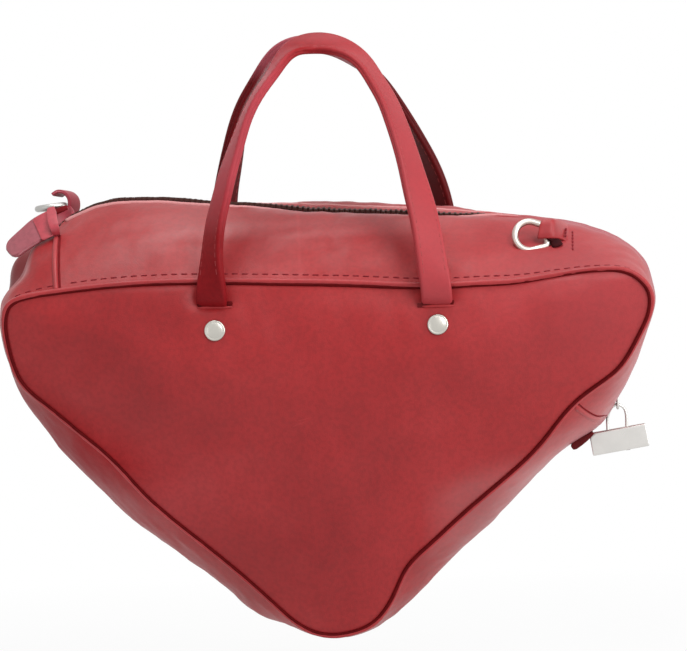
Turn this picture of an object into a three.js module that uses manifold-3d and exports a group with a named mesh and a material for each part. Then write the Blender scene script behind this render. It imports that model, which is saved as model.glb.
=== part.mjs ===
// A leather handbag whose body is a puffed, downward-pointing triangle.
// It carries two strap handles, a zip that runs over the top and down the right slope, two D-rings
// and a small padlock on the zip puller. Millimetres, +X right, +Y to the back, +Z up.
// The origin is where a hand holds it: under the middle of the two handles.
import * as THREE from "three";
import { mergeVertices } from "three/addons/utils/BufferGeometryUtils.js";
import Module from "manifold-3d";

const wasm = await Module();
wasm.setup();

// Body outline, as the front panel's seam line seen from the front.
const panelTopZ = -123; // straight top seam
const panelTipZ = -320; // where the two slopes would meet without rounding
const panelCornerX = 177; // top corner, from the middle
const upperHipX = 168;
const upperHipZ = -163;
const lowerHipX = 134;
const lowerHipZ = -196;
const slopeMidX = 100;
const slopeMidZ = -230;
const shoulderX = 140; // left shoulder, where the zip ends
const rightShoulderX = 132;

// Gusset and top bands, as their middle line's rise out of the seam line.
const leftShoulderRise = 47;
const rightShoulderRise = 34;
const leftEndRise = 21;
const rightCornerRise = 17;
const upperHipBulge = 5;
const upperHipLift = 8;
const lowerHipBulge = 13;
const lowerHipDrop = 7;
const slopeMidBulge = 3;
const slopeMidDrop = 16;
const tipDrop = 4;
const archPower = 1.8; // how full the gusset's cross-section is
const endPleatDepth = 12; // the left end folds inwards between front and back
const pleatReach = 0.55; // share of the half depth that the fold takes

// Depth of the body and the puff of its panels.
const topHalfDepth = 60;
const tipHalfDepth = 28;
const panelCrown = 16;
const crownPower = 2.4;
const panelCentreZ = -190;

// Sheet thicknesses and clearances.
const leather = 2.2;
const liningCloth = 0.9;
const weltRadius = 2.2;
const seamGap = 0.4; // between sewn neighbours
const fitGap = 0.3; // between hard pieces

// Zip.
const bandOpening = 5; // from the middle to each band's folded edge
const teethInner = 0.8; // from the middle to each row of teeth
const teethWidth = 2.2;
const teethHeight = 2.4;
const teethSink = 1.5; // top of the teeth below the leather's outer face
const tapeThickness = 0.8;
const tapeReach = 13; // from the middle to the tape's sewn edge
const sliderLength = 11;
const sliderHalfWidth = 4.2;
const sliderPlate = 1.1;
const sliderPost = 4; // length of the post between its plates
const sliderPostHalf = 0.45;
const sliderFromHip = 34; // along the slope, from the upper hip
const stopFromHip = 44;
const stopGap = 1.4; // between the bottom stop's middle and the zip's last teeth
const crownWire = 0.8; // bridge that the puller hangs from
const crownRise = 2.6;
const crownSpan = 2.6;
const crownShoulder = 1.1;
const sunkIn = 0.5; // how far joined pieces run into each other
const mouthSpans = 9; // spans of the top edge that open
const halfJoint = 0.25; // half the gap between pieces that meet end to end

// Handles.
const handleX = 60; // each leg, from the middle
const slotZ = -134;
const strapWidth = 16;
const strapThickness = 4.6;
const strapStandOff = 3.4; // from the panel's face to the strap's middle at the slot
const handleTwist = 65; // degrees that the strap turns from slot to apex
const apexCentreZ = 6.2;
const apexCentreY = 8.8;
const anchorThickness = 2.2;
const cutterReach = 30; // of the tools that cut the slots and the rivet holes through a panel
const anchorBottomZ = -159;
const anchorGap = 0.6;
const slotClearance = 0.5;
const anchorBend = 8; // below the slot, where the strap end lies flat against the panel
const strapRounding = 1.2;

// Rivets through panel and strap end.
const rivetZ = -147;
const capRadius = 5.6;
const capHeight = 1.7;
const capRim = 0.8;
const shankRadius = 1.6;
const backRadius = 4.6;
const backThickness = 1.1;
const liningClear = 1.6; // from the rivet backs to the lining
const gussetLiningSag = 2.4;
const liningInset = 4; // from the welt's clearance to the lining's sewn edge
const liningSeat = 0.8; // how far that edge sits up under the panel's curve

// D-rings and the leather loops that hold them.
const ringWire = 1.7;
const ringWidth = 18.4;
const ringReach = 17.5;
const loopLeather = 1.5;
const loopWidth = 11;
const rightLoopTail = 17;
const leftLoopTail = 13;
const sewnFromBar = 12; // from the ring's bar to the middle of the loop's stitches
const rightSewnX = 131;
const rightRingAcross = -0.54;
const leftSewnX = -128;
const leftRingAcross = 0.3;

// Leather tongues at both ends of the zip.
const leftTongueLength = 33;
const leftTongueWidth = 20;
const leftTonguePitch = 35; // degrees below level
const leftTongueRoll = 32; // degrees that its face turns to the front
const leftTongueAcross = -0.3;
const leftTongueLift = 3;
const tongueThickness = 2.8;
const rightTongueLength = 17;
const rightTongueWidth = 14;
const rightTongueStart = 9.5; // past the lower hip
const rightTongueLift = 5; // degrees off the gusset

// Puller and padlock.
const pullerWire = 0.7;
const pullerHalfWidth = 3.4;
const pullerDrop = 8.5;
const pullerCorner = 1;
const lockWidth = 30.6;
const lockHeight = 11.3;
const lockThickness = 5.4;
const lockTilt = 8.8; // degrees, as it hangs
const shackleWire = 0.8;
const shackleHalfWidth = 4.8;
const shackleLegs = 8.4; // straight part above the body
const shackleInsert = 6;
const lockEdge = 0.8; // chamfer of its long edges
const keyPlugRadius = 2.1;
const keyPlugLength = 5.2;
const keywayHalfWidth = 0.4;
const keywayHalfHeight = 1.5;
const keywayDepth = 4;
const latchDrop = 3.4; // from the top of the body to the latch's middle
const latchRoomHalf = [1.2, 1]; // across and up
const latchHalf = [0.9, 0.7];
const latchStart = 0.4;
const springRadius = 0.6;
const springLength = 3.2;
const springGap = 0.3;

// Colours.
const redLeather = { color: 0x9e2e30, roughness: 0.5, metalness: 0 };
const darkLeather = { color: 0x6e1a20, roughness: 0.55, metalness: 0 };
const cloth = { color: 0x3a1416, roughness: 0.9, metalness: 0 };
const zipCloth = { color: 0x3b2420, roughness: 0.85, metalness: 0 };
const nickel = { color: 0xc9c7c2, roughness: 0.25, metalness: 1 };
const brass = { color: 0xb08d4a, roughness: 0.4, metalness: 1 };

const degrees = Math.PI / 180;
const group = new THREE.Group();

function vec(x, y, z) {
  return new THREE.Vector3(x, y, z);
}

function addPiece(name, geometry, look) {
  const mesh = new THREE.Mesh(geometry, new THREE.MeshStandardMaterial(look));
  mesh.name = name;
  group.add(mesh);
  return mesh;
}

// Closed bodies.

// Builds one body from points and triangles, and turns its faces outwards.
function closedBody(points, triangles) {
  let volume = 0;
  for (const [a, b, c] of triangles) {
    volume += points[a].dot(points[b].clone().cross(points[c]));
  }
  const outward = volume < 0 ? triangles.map(([a, b, c]) => [a, c, b]) : triangles;
  const geometry = new THREE.BufferGeometry().setFromPoints(points);
  geometry.setIndex(outward.flat());
  geometry.computeVertexNormals();
  return geometry;
}

// A sheet between two grids of points of the same size, with its four edges closed.
function sheetBody(outer, inner) {
  const rows = outer.length;
  const columns = outer[0].length;
  const points = [...outer.flat(), ...inner.flat()];
  const at = (layer, row, column) => layer * rows * columns + row * columns + column;
  const triangles = [];
  const quad = (a, b, c, d) => triangles.push([a, b, c], [a, c, d]);
  for (let row = 0; row < rows - 1; row++) {
    for (let column = 0; column < columns - 1; column++) {
      quad(at(0, row, column), at(0, row + 1, column), at(0, row + 1, column + 1), at(0, row, column + 1));
      quad(at(1, row, column), at(1, row, column + 1), at(1, row + 1, column + 1), at(1, row + 1, column));
    }
  }
  for (let row = 0; row < rows - 1; row++) {
    const last = columns - 1;
    quad(at(0, row, 0), at(1, row, 0), at(1, row + 1, 0), at(0, row + 1, 0));
    quad(at(0, row, last), at(0, row + 1, last), at(1, row + 1, last), at(1, row, last));
  }
  for (let column = 0; column < columns - 1; column++) {
    const last = rows - 1;
    quad(at(0, 0, column), at(0, 0, column + 1), at(1, 0, column + 1), at(1, 0, column));
    quad(at(0, last, column), at(1, last, column), at(1, last, column + 1), at(0, last, column + 1));
  }
  return closedBody(points, triangles);
}

// A body through a row of closed sections, capped at both ends or joined into a ring.
function loftBody(sections, ring) {
  const count = sections[0].length;
  const points = sections.flat();
  const triangles = [];
  const joins = ring ? sections.length : sections.length - 1;
  for (let step = 0; step < joins; step++) {
    const next = (step + 1) % sections.length;
    for (let side = 0; side < count; side++) {
      const other = (side + 1) % count;
      const a = step * count + side;
      const b = next * count + side;
      const c = next * count + other;
      const d = step * count + other;
      triangles.push([a, b, c], [a, c, d]);
    }
  }
  if (!ring) {
    const end = (sections.length - 1) * count;
    for (let side = 1; side < count - 1; side++) {
      triangles.push([0, side, side + 1], [end, end + side + 1, end + side]);
    }
  }
  return closedBody(points, triangles);
}

// A round wire along a path that lies in one plane.
function wireBody(path, planeNormal, radius, sides, ring) {
  const sections = path.map((point, index) => {
    const before = ring ? path.at(index - 1) : path[Math.max(index - 1, 0)];
    const after = ring ? path[(index + 1) % path.length] : path[Math.min(index + 1, path.length - 1)];
    const along = after.clone().sub(before).normalize();
    const across = planeNormal.clone().cross(along).normalize();
    return Array.from({ length: sides }, (_, side) => {
      const angle = (side * 2 * Math.PI) / sides;
      const reach = across.clone().multiplyScalar(radius * Math.cos(angle));
      return point.clone().add(reach).addScaledVector(planeNormal, radius * Math.sin(angle));
    });
  });
  return loftBody(sections, ring);
}

function toSolid(geometry) {
  const bare = geometry.clone();
  bare.deleteAttribute("normal");
  bare.deleteAttribute("uv");
  const merged = mergeVertices(bare);
  const vertProperties = new Float32Array(merged.attributes.position.array);
  const triVerts = new Uint32Array(merged.index.array);
  return new wasm.Manifold(new wasm.Mesh({ numProp: 3, vertProperties, triVerts }));
}

function fromSolid(solid) {
  const mesh = solid.getMesh();
  const geometry = new THREE.BufferGeometry();
  geometry.setAttribute("position", new THREE.BufferAttribute(mesh.vertProperties, 3));
  geometry.setIndex(new THREE.BufferAttribute(mesh.triVerts, 1));
  geometry.computeVertexNormals();
  return geometry;
}

function cut(geometry, ...tools) {
  let solid = toSolid(geometry);
  for (const tool of tools) {
    solid = solid.subtract(toSolid(tool));
  }
  return fromSolid(solid);
}

function join(geometry, ...others) {
  let solid = toSolid(geometry);
  for (const other of others) {
    solid = solid.add(toSolid(other));
  }
  return fromSolid(solid);
}

// Outlines of the seam line and of the gusset's middle line, clockwise from the left shoulder.

const cornerSteps = 3;
const edgeSteps = [10, 1, 1, 1, 1, 3, 3, 1, 1, 1, 1];

const seamCorners = [
  { x: -shoulderX, z: panelTopZ, reach: 20 },
  { x: rightShoulderX, z: panelTopZ, reach: 22 },
  { x: panelCornerX, z: panelTopZ, reach: 16 },
  { x: upperHipX, z: upperHipZ, reach: 12 },
  { x: lowerHipX, z: lowerHipZ, reach: 15 },
  { x: slopeMidX, z: slopeMidZ, reach: 15 },
  { x: 0, z: panelTipZ, reach: 22 },
  { x: -slopeMidX, z: slopeMidZ, reach: 15 },
  { x: -lowerHipX, z: lowerHipZ, reach: 15 },
  { x: -upperHipX, z: upperHipZ, reach: 12 },
  { x: -panelCornerX, z: panelTopZ, reach: 14 },
];

const ridgeCorners = [
  { x: -shoulderX, z: panelTopZ + leftShoulderRise, reach: 20 },
  { x: rightShoulderX, z: panelTopZ + rightShoulderRise, reach: 22 },
  { x: panelCornerX + upperHipBulge, z: panelTopZ + rightCornerRise, reach: 14 },
  { x: upperHipX + upperHipBulge, z: upperHipZ + upperHipLift, reach: 7 },
  { x: lowerHipX + lowerHipBulge, z: lowerHipZ - lowerHipDrop, reach: 9 },
  { x: slopeMidX + slopeMidBulge, z: slopeMidZ - slopeMidDrop, reach: 24 },
  { x: 0, z: panelTipZ - tipDrop, reach: 34 },
  { x: -slopeMidX - slopeMidBulge, z: slopeMidZ - slopeMidDrop, reach: 24 },
  { x: -lowerHipX - lowerHipBulge, z: lowerHipZ - lowerHipDrop, reach: 12 },
  { x: -upperHipX - upperHipBulge, z: upperHipZ + upperHipLift, reach: 12 },
  { x: -panelCornerX + upperHipBulge, z: panelTopZ + leftEndRise, reach: 10 },
];

// Each corner is a curve that starts and ends its reach away from the corner's point.
function outlinePoints(corners) {
  const points = [];
  corners.forEach((corner, index) => {
    const here = new THREE.Vector2(corner.x, corner.z);
    const last = corners.at(index - 1);
    const next = corners[(index + 1) % corners.length];
    const towards = (other, reach) =>
      new THREE.Vector2(other.x, other.z).sub(here).setLength(reach).add(here);
    const leave = towards(next, corner.reach);
    const curve = new THREE.QuadraticBezierCurve(towards(last, corner.reach), here, leave);
    points.push(...curve.getPoints(cornerSteps));
    const arrive = new THREE.Vector2(here.x, here.y)
      .sub(new THREE.Vector2(next.x, next.z))
      .setLength(next.reach)
      .add(new THREE.Vector2(next.x, next.z));
    for (let step = 1; step < edgeSteps[index]; step++) {
      points.push(leave.clone().lerp(arrive, step / edgeSteps[index]));
    }
  });
  return points;
}

const seamLine = outlinePoints(seamCorners);
const ridgeLine = outlinePoints(ridgeCorners);
const stationCount = seamLine.length;

// The station where a corner's curve starts.
function cornerStation(corner) {
  let station = 0;
  for (let index = 0; index < corner; index++) {
    station += cornerSteps + edgeSteps[index];
  }
  return station;
}

const mouthStart = cornerStation(0) + cornerSteps;
const mouthEnd = mouthStart + mouthSpans;
const endFold = cornerStation(0) + 1;
const crossSeam = cornerStation(4) + 2;
const leftCorner = cornerStation(10);

function linePoint(line, station) {
  const wrapped = ((station % stationCount) + stationCount) % stationCount;
  const low = Math.floor(wrapped);
  const high = (low + 1) % stationCount;
  return line[low].clone().lerp(line[high], wrapped - low);
}

function halfDepth(z) {
  const share = (panelTopZ - z) / (panelTopZ - panelTipZ);
  return THREE.MathUtils.lerp(topHalfDepth, tipHalfDepth, share);
}

function halfDepthAt(station) {
  return halfDepth(linePoint(seamLine, station).y);
}

// The left end's pleat, as a share that is whole midway between corner and end fold.
function pleatShare(station) {
  const from = leftCorner;
  const to = stationCount + endFold;
  const here = station < stationCount / 2 ? station + stationCount : station;
  if (here <= from || here >= to) {
    return 0;
  }
  return Math.sin((Math.PI * (here - from)) / (to - from)) ** 2;
}

// A point of the gusset surface: across runs from -1 at the front seam to +1 at the back seam.
function gussetPoint(station, across) {
  const seam = linePoint(seamLine, station);
  const ridge = linePoint(ridgeLine, station);
  const rise = 1 - Math.abs(across) ** archPower;
  const place = seam.clone().lerp(ridge, rise);
  const valley = THREE.MathUtils.smoothstep(1 - Math.abs(across) / pleatReach, 0, 1);
  const inwards = new THREE.Vector2(0, panelCentreZ).sub(place).setLength(endPleatDepth);
  place.addScaledVector(inwards, valley * pleatShare(station));
  return vec(place.x, across * halfDepth(seam.y), place.y);
}

// The surface's own directions at a point: along the outline, across to the back, and outwards.
function gussetFrame(station, across) {
  const small = 0.02;
  const along = gussetPoint(station + 0.4, across).sub(gussetPoint(station - 0.4, across)).normalize();
  const over = gussetPoint(station, across + small).sub(gussetPoint(station, across - small)).normalize();
  const outwards = along.clone().cross(over).normalize();
  return { along, over: outwards.clone().cross(along).normalize(), outwards };
}

function insetPoint(station, across, inset) {
  const { outwards } = gussetFrame(station, across);
  return gussetPoint(station, across).addScaledVector(outwards, -inset);
}

// How much of the across range a distance along the surface takes, at the seam.
function seamShare(station, distance) {
  const rise = linePoint(ridgeLine, station).sub(linePoint(seamLine, station));
  const square = Math.abs(rise.dot(outlineNormal(station)));
  return distance / Math.hypot(halfDepthAt(station), archPower * square);
}

// A strip of the gusset surface between two stations, as a sheet from one inset to another.
function gussetStrip(from, to, acrossAt, insetsAt) {
  const outer = [];
  const inner = [];
  const stops = [from];
  for (let station = Math.floor(from) + 1; station < to; station++) {
    stops.push(station);
  }
  stops.push(to);
  for (const station of stops) {
    const row = acrossAt(station);
    outer.push(row.map((across) => insetPoint(station, across, insetsAt(station, across)[0])));
    inner.push(row.map((across) => insetPoint(station, across, insetsAt(station, across)[1])));
  }
  return sheetBody(outer, inner);
}

function spread(from, to, spans) {
  return Array.from({ length: spans + 1 }, (_, index) => THREE.MathUtils.lerp(from, to, index / spans));
}

// A station's distance, in stations, that leaves a gap of the given size along the outline.
function stationGap(station, gap) {
  const step = linePoint(ridgeLine, station + 0.5).distanceTo(linePoint(ridgeLine, station - 0.5));
  return gap / step;
}

const seamClear = weltRadius + seamGap;

// Front and back panels, crowned like cushions.

function outlineNormal(station) {
  const ahead = linePoint(seamLine, station + 0.5);
  const behind = linePoint(seamLine, station - 0.5);
  const along = ahead.sub(behind).normalize();
  return new THREE.Vector2(-along.y, along.x);
}

function crownDepth(z, share) {
  return halfDepth(z) + panelCrown * (1 - share ** crownPower);
}

// The panel's depth on the stretch below the straight top seam, where it doesn't change along X.
function topFaceDepth(z) {
  const rim = panelTopZ - seamClear;
  return crownDepth(z, (z - panelCentreZ) / (rim - panelCentreZ));
}

function panelGrid(side, margin, shares, insetAt) {
  const centre = new THREE.Vector2(0, panelCentreZ);
  return shares.map((share) =>
    Array.from({ length: stationCount }, (_, station) => {
      const rim = linePoint(seamLine, station).addScaledVector(outlineNormal(station), -margin);
      const place = centre.clone().lerp(rim, share);
      return vec(place.x, side * (crownDepth(place.y, share) - insetAt(share)), place.y);
    })
  );
}

// A dished sheet between two sets of rings, closed at its middle on both faces.
function dishBody(outerRings, innerRings, outerMiddle, innerMiddle) {
  const count = stationCount;
  const rings = outerRings.length;
  const points = [...outerRings.flat(), ...innerRings.flat(), outerMiddle, innerMiddle];
  const at = (layer, ring, station) => (layer * rings + ring) * count + (station % count);
  const middle = (layer) => 2 * rings * count + layer;
  const triangles = [];
  for (let station = 0; station < count; station++) {
    const next = station + 1;
    triangles.push([middle(0), at(0, 0, station), at(0, 0, next)]);
    triangles.push([middle(1), at(1, 0, next), at(1, 0, station)]);
    for (let ring = 0; ring < rings - 1; ring++) {
      const up = ring + 1;
      triangles.push([at(0, ring, station), at(0, up, station), at(0, up, next)]);
      triangles.push([at(0, ring, station), at(0, up, next), at(0, ring, next)]);
      triangles.push([at(1, ring, station), at(1, up, next), at(1, up, station)]);
      triangles.push([at(1, ring, station), at(1, ring, next), at(1, up, next)]);
    }
    const rim = rings - 1;
    triangles.push([at(0, rim, station), at(1, rim, station), at(1, rim, next)]);
    triangles.push([at(0, rim, station), at(1, rim, next), at(0, rim, next)]);
  }
  return closedBody(points, triangles);
}

function panelSheet(side, margin, shares, outerInset, innerInset) {
  const middlePoint = (inset) => vec(0, side * (crownDepth(panelCentreZ, 0) - inset(0)), panelCentreZ);
  return dishBody(
    panelGrid(side, margin, shares, outerInset),
    panelGrid(side, margin, shares, innerInset),
    middlePoint(outerInset),
    middlePoint(innerInset)
  );
}

// The panel's face direction below the top seam, in the plane across X.
function topFaceTilt(z) {
  const slope = topFaceDepth(z + 1) - topFaceDepth(z - 1);
  return Math.atan2(slope, 2);
}

function slotCutter(side, x) {
  const width = strapWidth + 2 * slotClearance;
  const height = anchorThickness + 2 * slotClearance;
  const box = new THREE.BoxGeometry(width, cutterReach, height);
  box.translate(x, side * topFaceDepth(slotZ), slotZ);
  return box;
}

// Turns a turned piece from the Z axis to the panel's face direction at a rivet.
function toRivet(geometry, side, x) {
  geometry.rotateX(-side * (90 * degrees + topFaceTilt(rivetZ)));
  geometry.translate(x, side * topFaceDepth(rivetZ), rivetZ);
  return geometry;
}

function rivetHole(side, x) {
  const hole = new THREE.CylinderGeometry(shankRadius + seamGap, shankRadius + seamGap, cutterReach, 12);
  hole.rotateX(90 * degrees);
  return toRivet(hole, side, x);
}

function makePanel(name, side) {
  const shares = [0.3, 0.55, 0.75, 0.9, 1];
  const sheet = panelSheet(side, seamClear, shares, () => 0, () => leather);
  const holes = [-handleX, handleX].flatMap((x) => [slotCutter(side, x), rivetHole(side, x)]);
  addPiece(name, cut(sheet, ...holes), redLeather);
}

// The lining hangs clear of the strap ends and comes back to the panel at its sewn rim.
function makePanelLining(name, side) {
  const pocket = anchorGap + anchorThickness + 2 * fitGap + backThickness + liningClear;
  const seated = leather + seamGap - liningSeat;
  const hang = (share) => seated + (pocket + liningSeat) * Math.min(1, (1 - share) / 0.12);
  const shares = [0.5, 0.86, 1];
  const margin = seamClear + liningInset;
  const sheet = panelSheet(side, margin, shares, hang, (share) => hang(share) + liningCloth);
  addPiece(name, sheet, cloth);
}

function makeWelt(name, side) {
  const path = seamLine.map((point) => vec(point.x, side * halfDepth(point.y), point.y));
  const lean = (topHalfDepth - tipHalfDepth) / (panelTopZ - panelTipZ);
  const planeNormal = vec(0, 1, -side * lean).normalize();
  addPiece(name, wireBody(path, planeNormal, weltRadius, 5, true), redLeather);
}

// Bands beside the zip, and the gusset.

function bandAcross(side) {
  return (station) => {
    const seamEdge = 1 - seamShare(station, seamClear);
    const zipEdge = bandOpening / halfDepthAt(station);
    return spread(seamEdge, zipEdge, 5).map((across) => side * across);
  };
}

function makeBand(name, side, from, to) {
  const insets = () => [0, leather];
  addPiece(name, gussetStrip(from, to, bandAcross(side), insets), redLeather);
}

function wholeAcross(spans, margin) {
  return (station) => {
    const edge = 1 - seamShare(station, margin);
    return spread(-edge, edge, spans);
  };
}

function makeGusset(name, from, to) {
  addPiece(name, gussetStrip(from, to, wholeAcross(6, seamClear), () => [0, leather]), redLeather);
}

function makeGussetLining(name, from, to) {
  const insets = (station, across) => {
    const top = leather + seamGap + gussetLiningSag * (1 - across ** 2);
    return [top, top + liningCloth];
  };
  addPiece(name, gussetStrip(from, to, wholeAcross(4, seamClear + liningInset + 1.5), insets), cloth);
}

// Zip tape and teeth, which follow the gusset surface at fixed distances from its middle line.

function zipStrip(side, from, to, near, far, top, bottom) {
  const acrossAt = (station) => [near, far].map((distance) => (side * distance) / halfDepthAt(station));
  return gussetStrip(from, to, acrossAt, () => [top, bottom]);
}

const teethOuter = teethInner + teethWidth;
const tapeTop = leather + seamGap;

function makeTape(name, side, from, to) {
  const strip = zipStrip(side, from, to, teethOuter + fitGap, tapeReach, tapeTop, tapeTop + tapeThickness);
  addPiece(name, strip, zipCloth);
}

function makeTeeth(name, side, from, to) {
  const strip = zipStrip(side, from, to, teethInner, teethOuter, teethSink, teethSink + teethHeight);
  addPiece(name, strip, brass);
}

// Places a piece that is drawn with X along the outline, Y across and Z outwards.
function placeOnGusset(mesh, station, across, height) {
  const { along, over, outwards } = gussetFrame(station, across);
  mesh.quaternion.setFromRotationMatrix(new THREE.Matrix4().makeBasis(along, over, outwards));
  mesh.position.copy(gussetPoint(station, across)).addScaledVector(outwards, height);
  return mesh;
}

function box(x0, x1, y0, y1, z0, z1) {
  const geometry = new THREE.BoxGeometry(x1 - x0, y1 - y0, z1 - z0);
  geometry.translate((x0 + x1) / 2, (y0 + y1) / 2, (z0 + z1) / 2);
  return geometry;
}

// The station whose middle-line point lies a distance past a corner's point, towards the next one.
function stationPast(corner, distance) {
  const start = cornerStation(corner) + cornerSteps;
  const end = cornerStation(corner + 1);
  const here = ridgeCorners[corner];
  const next = ridgeCorners[corner + 1];
  const length = Math.hypot(next.x - here.x, next.z - here.z);
  const share = (distance - here.reach) / (length - here.reach - next.reach);
  return THREE.MathUtils.lerp(start, end, share);
}

const upperHip = 3;
const lowerHip = 4;
const sliderStation = stationPast(upperHip, sliderFromHip);

function makeSlider() {
  const half = sliderLength / 2;
  const plateTop = -teethSink + fitGap + sliderPlate;
  const bottomTop = -teethSink - teethHeight - fitGap;
  const upper = box(-half, half, -sliderHalfWidth, sliderHalfWidth, -teethSink + fitGap, plateTop);
  const lower = box(-half, half, -sliderHalfWidth, sliderHalfWidth, bottomTop - sliderPlate, bottomTop);
  const postEnd = -half + sliderPost;
  const postTop = -teethSink + fitGap + sunkIn;
  const post = box(-half, postEnd, -sliderPostHalf, sliderPostHalf, bottomTop - sunkIn, postTop);
  const crown = makeCrown(plateTop);
  const mesh = addPiece("zip_slider", join(upper, lower, post, crown), nickel);
  placeOnGusset(mesh, sliderStation, 0, 0);
}

// The bridge on the slider's plate that the puller hangs from.
function makeCrown(plateTop) {
  const flat = crownSpan * 0.6;
  const path = [
    vec(-crownSpan, 0, plateTop - sunkIn),
    vec(-crownSpan, 0, plateTop + crownShoulder),
    vec(-flat, 0, plateTop + crownRise),
    vec(flat, 0, plateTop + crownRise),
    vec(crownSpan, 0, plateTop + crownShoulder),
    vec(crownSpan, 0, plateTop - sunkIn),
  ];
  return wireBody(path, vec(0, 1, 0), crownWire, 8, false);
}

// The puller's upper bar passes under the bridge, and its lower bar carries the padlock.
function pullerPivot() {
  const { outwards } = gussetFrame(sliderStation, 0);
  const plateTop = -teethSink + fitGap + sliderPlate;
  const height = plateTop + crownRise - crownWire - fitGap - pullerWire;
  return gussetPoint(sliderStation, 0).addScaledVector(outwards, height);
}

function makePuller() {
  const side = pullerHalfWidth - pullerCorner;
  const low = -pullerDrop + pullerCorner;
  const centres = [
    [side, -pullerCorner],
    [side, low],
    [-side, low],
    [-side, -pullerCorner],
  ];
  const path = [];
  centres.forEach(([y, z], quarter) => {
    for (const step of [0, 1, 2]) {
      const angle = (90 - quarter * 90 - step * 45) * degrees;
      path.push(vec(0, y + pullerCorner * Math.cos(angle), z + pullerCorner * Math.sin(angle)));
    }
  });
  const mesh = addPiece("zip_puller", wireBody(path, vec(1, 0, 0), pullerWire, 8, true), nickel);
  mesh.position.copy(pullerPivot());
}

const stopStation = stationPast(upperHip, stopFromHip);

function makeZipStop() {
  const half = 1;
  const reach = bandOpening - seamGap;
  const drop = teethSink + teethHeight;
  const stop = box(-half, half, -reach, reach, -drop, -teethSink + sunkIn);
  placeOnGusset(addPiece("zip_bottom_stop", stop, nickel), stopStation, 0, 0);
}

// Padlock, drawn around the puller's lower bar and hung with a tilt.

const lockTop = pullerWire + fitGap + shackleWire - shackleHalfWidth - shackleLegs;

function lockGroup() {
  const pivot = pullerPivot();
  const hung = new THREE.Group();
  hung.position.set(pivot.x, 0, pivot.z - pullerDrop);
  hung.rotation.y = -lockTilt * degrees;
  group.add(hung);
  return hung;
}

// A round cutter or piece along Z, from a height upwards.
function upright(radius, length, sides, x, low) {
  const geometry = new THREE.CylinderGeometry(radius, radius, length, sides);
  geometry.rotateX(90 * degrees);
  geometry.translate(x, 0, low + length / 2);
  return geometry;
}

function shackleHole(x) {
  const depth = shackleInsert + 1;
  return upright(shackleWire + fitGap, depth + 1, 12, x, lockTop - depth);
}

function lockOutline() {
  const half = lockWidth / 2;
  const low = lockTop - lockHeight;
  const outline = new THREE.Shape();
  outline.moveTo(-half + lockEdge, low);
  outline.lineTo(half - lockEdge, low);
  outline.lineTo(half, low + lockEdge);
  outline.lineTo(half, lockTop - lockEdge);
  outline.lineTo(half - lockEdge, lockTop);
  outline.lineTo(-half + lockEdge, lockTop);
  outline.lineTo(-half, lockTop - lockEdge);
  outline.lineTo(-half, low + lockEdge);
  return outline;
}

function makePadlock() {
  const hung = lockGroup();
  const place = (mesh) => hung.add(mesh);
  const block = new THREE.ExtrudeGeometry(lockOutline(), { depth: lockThickness, bevelEnabled: false });
  block.rotateX(90 * degrees);
  block.translate(0, lockThickness / 2, 0);
  const low = lockTop - lockHeight;
  const latchZ = lockTop - latchDrop;
  const [roomY, roomZ] = latchRoomHalf;
  const room = box(-shackleHalfWidth, shackleHalfWidth, -roomY, roomY, latchZ - roomZ, latchZ + roomZ);
  const plugRoom = upright(keyPlugRadius + fitGap, keyPlugLength + fitGap + 1, 16, 0, low - 1);
  const holes = [shackleHole(-shackleHalfWidth), shackleHole(shackleHalfWidth)];
  place(addPiece("padlock_body", cut(block, ...holes, room, plugRoom), nickel));

  const plug = upright(keyPlugRadius, keyPlugLength, 16, 0, low);
  const [slitX, slitY] = [keywayHalfWidth, keywayHalfHeight];
  const keyway = box(-slitX, slitX, -slitY, slitY, low - 1, low + keywayDepth);
  place(addPiece("padlock_key_plug", cut(plug, keyway), brass));

  const latchEnd = shackleHalfWidth - shackleWire - fitGap;
  const [latchY, latchHigh] = latchHalf;
  const latch = box(latchStart, latchEnd, -latchY, latchY, latchZ - latchHigh, latchZ + latchHigh);
  place(addPiece("padlock_latch", latch, brass));
  const spring = new THREE.CylinderGeometry(springRadius, springRadius, springLength, 8);
  spring.rotateZ(90 * degrees);
  spring.translate(latchStart - springGap - springLength / 2, 0, latchZ);
  place(addPiece("padlock_latch_spring", spring, nickel));

  const arch = spread(180, 0, 10).map((angle) => {
    const middle = lockTop + shackleLegs;
    return vec(
      shackleHalfWidth * Math.cos(angle * degrees),
      0,
      middle + shackleHalfWidth * Math.sin(angle * degrees)
    );
  });
  const foot = lockTop - shackleInsert;
  const path = [vec(-shackleHalfWidth, 0, foot), ...arch, vec(shackleHalfWidth, 0, foot)];
  place(addPiece("padlock_shackle", wireBody(path, vec(0, 1, 0), shackleWire, 10, false), nickel));
}

// Handles: flat straps that rise from their slots and turn towards their outer face.
// The left leg's middle line from the slot: inwards, back and up.
const strapPath = [
  [0, 0, 0],
  [-0.2, 0.4, 15],
  [-1.2, 2, 32],
  [-5.5, 8.5, 54],
  [-14, 20.5, 82],
  [-22.5, 32.5, 104],
  [-33, 45, 124],
  [-46, 54, 136.6],
];

function handlePath(side) {
  const root = topFaceDepth(slotZ) + strapStandOff;
  const apex = vec(0, side * apexCentreY, apexCentreZ);
  const leg = strapPath.map(([inwards, back, up]) => {
    return vec(-handleX - inwards, side * (root - back), slotZ + up);
  });
  const mirrored = leg.map((point) => vec(-point.x, point.y, point.z)).reverse();
  return new THREE.CatmullRomCurve3([...leg, apex, ...mirrored], false, "centripetal");
}

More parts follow.
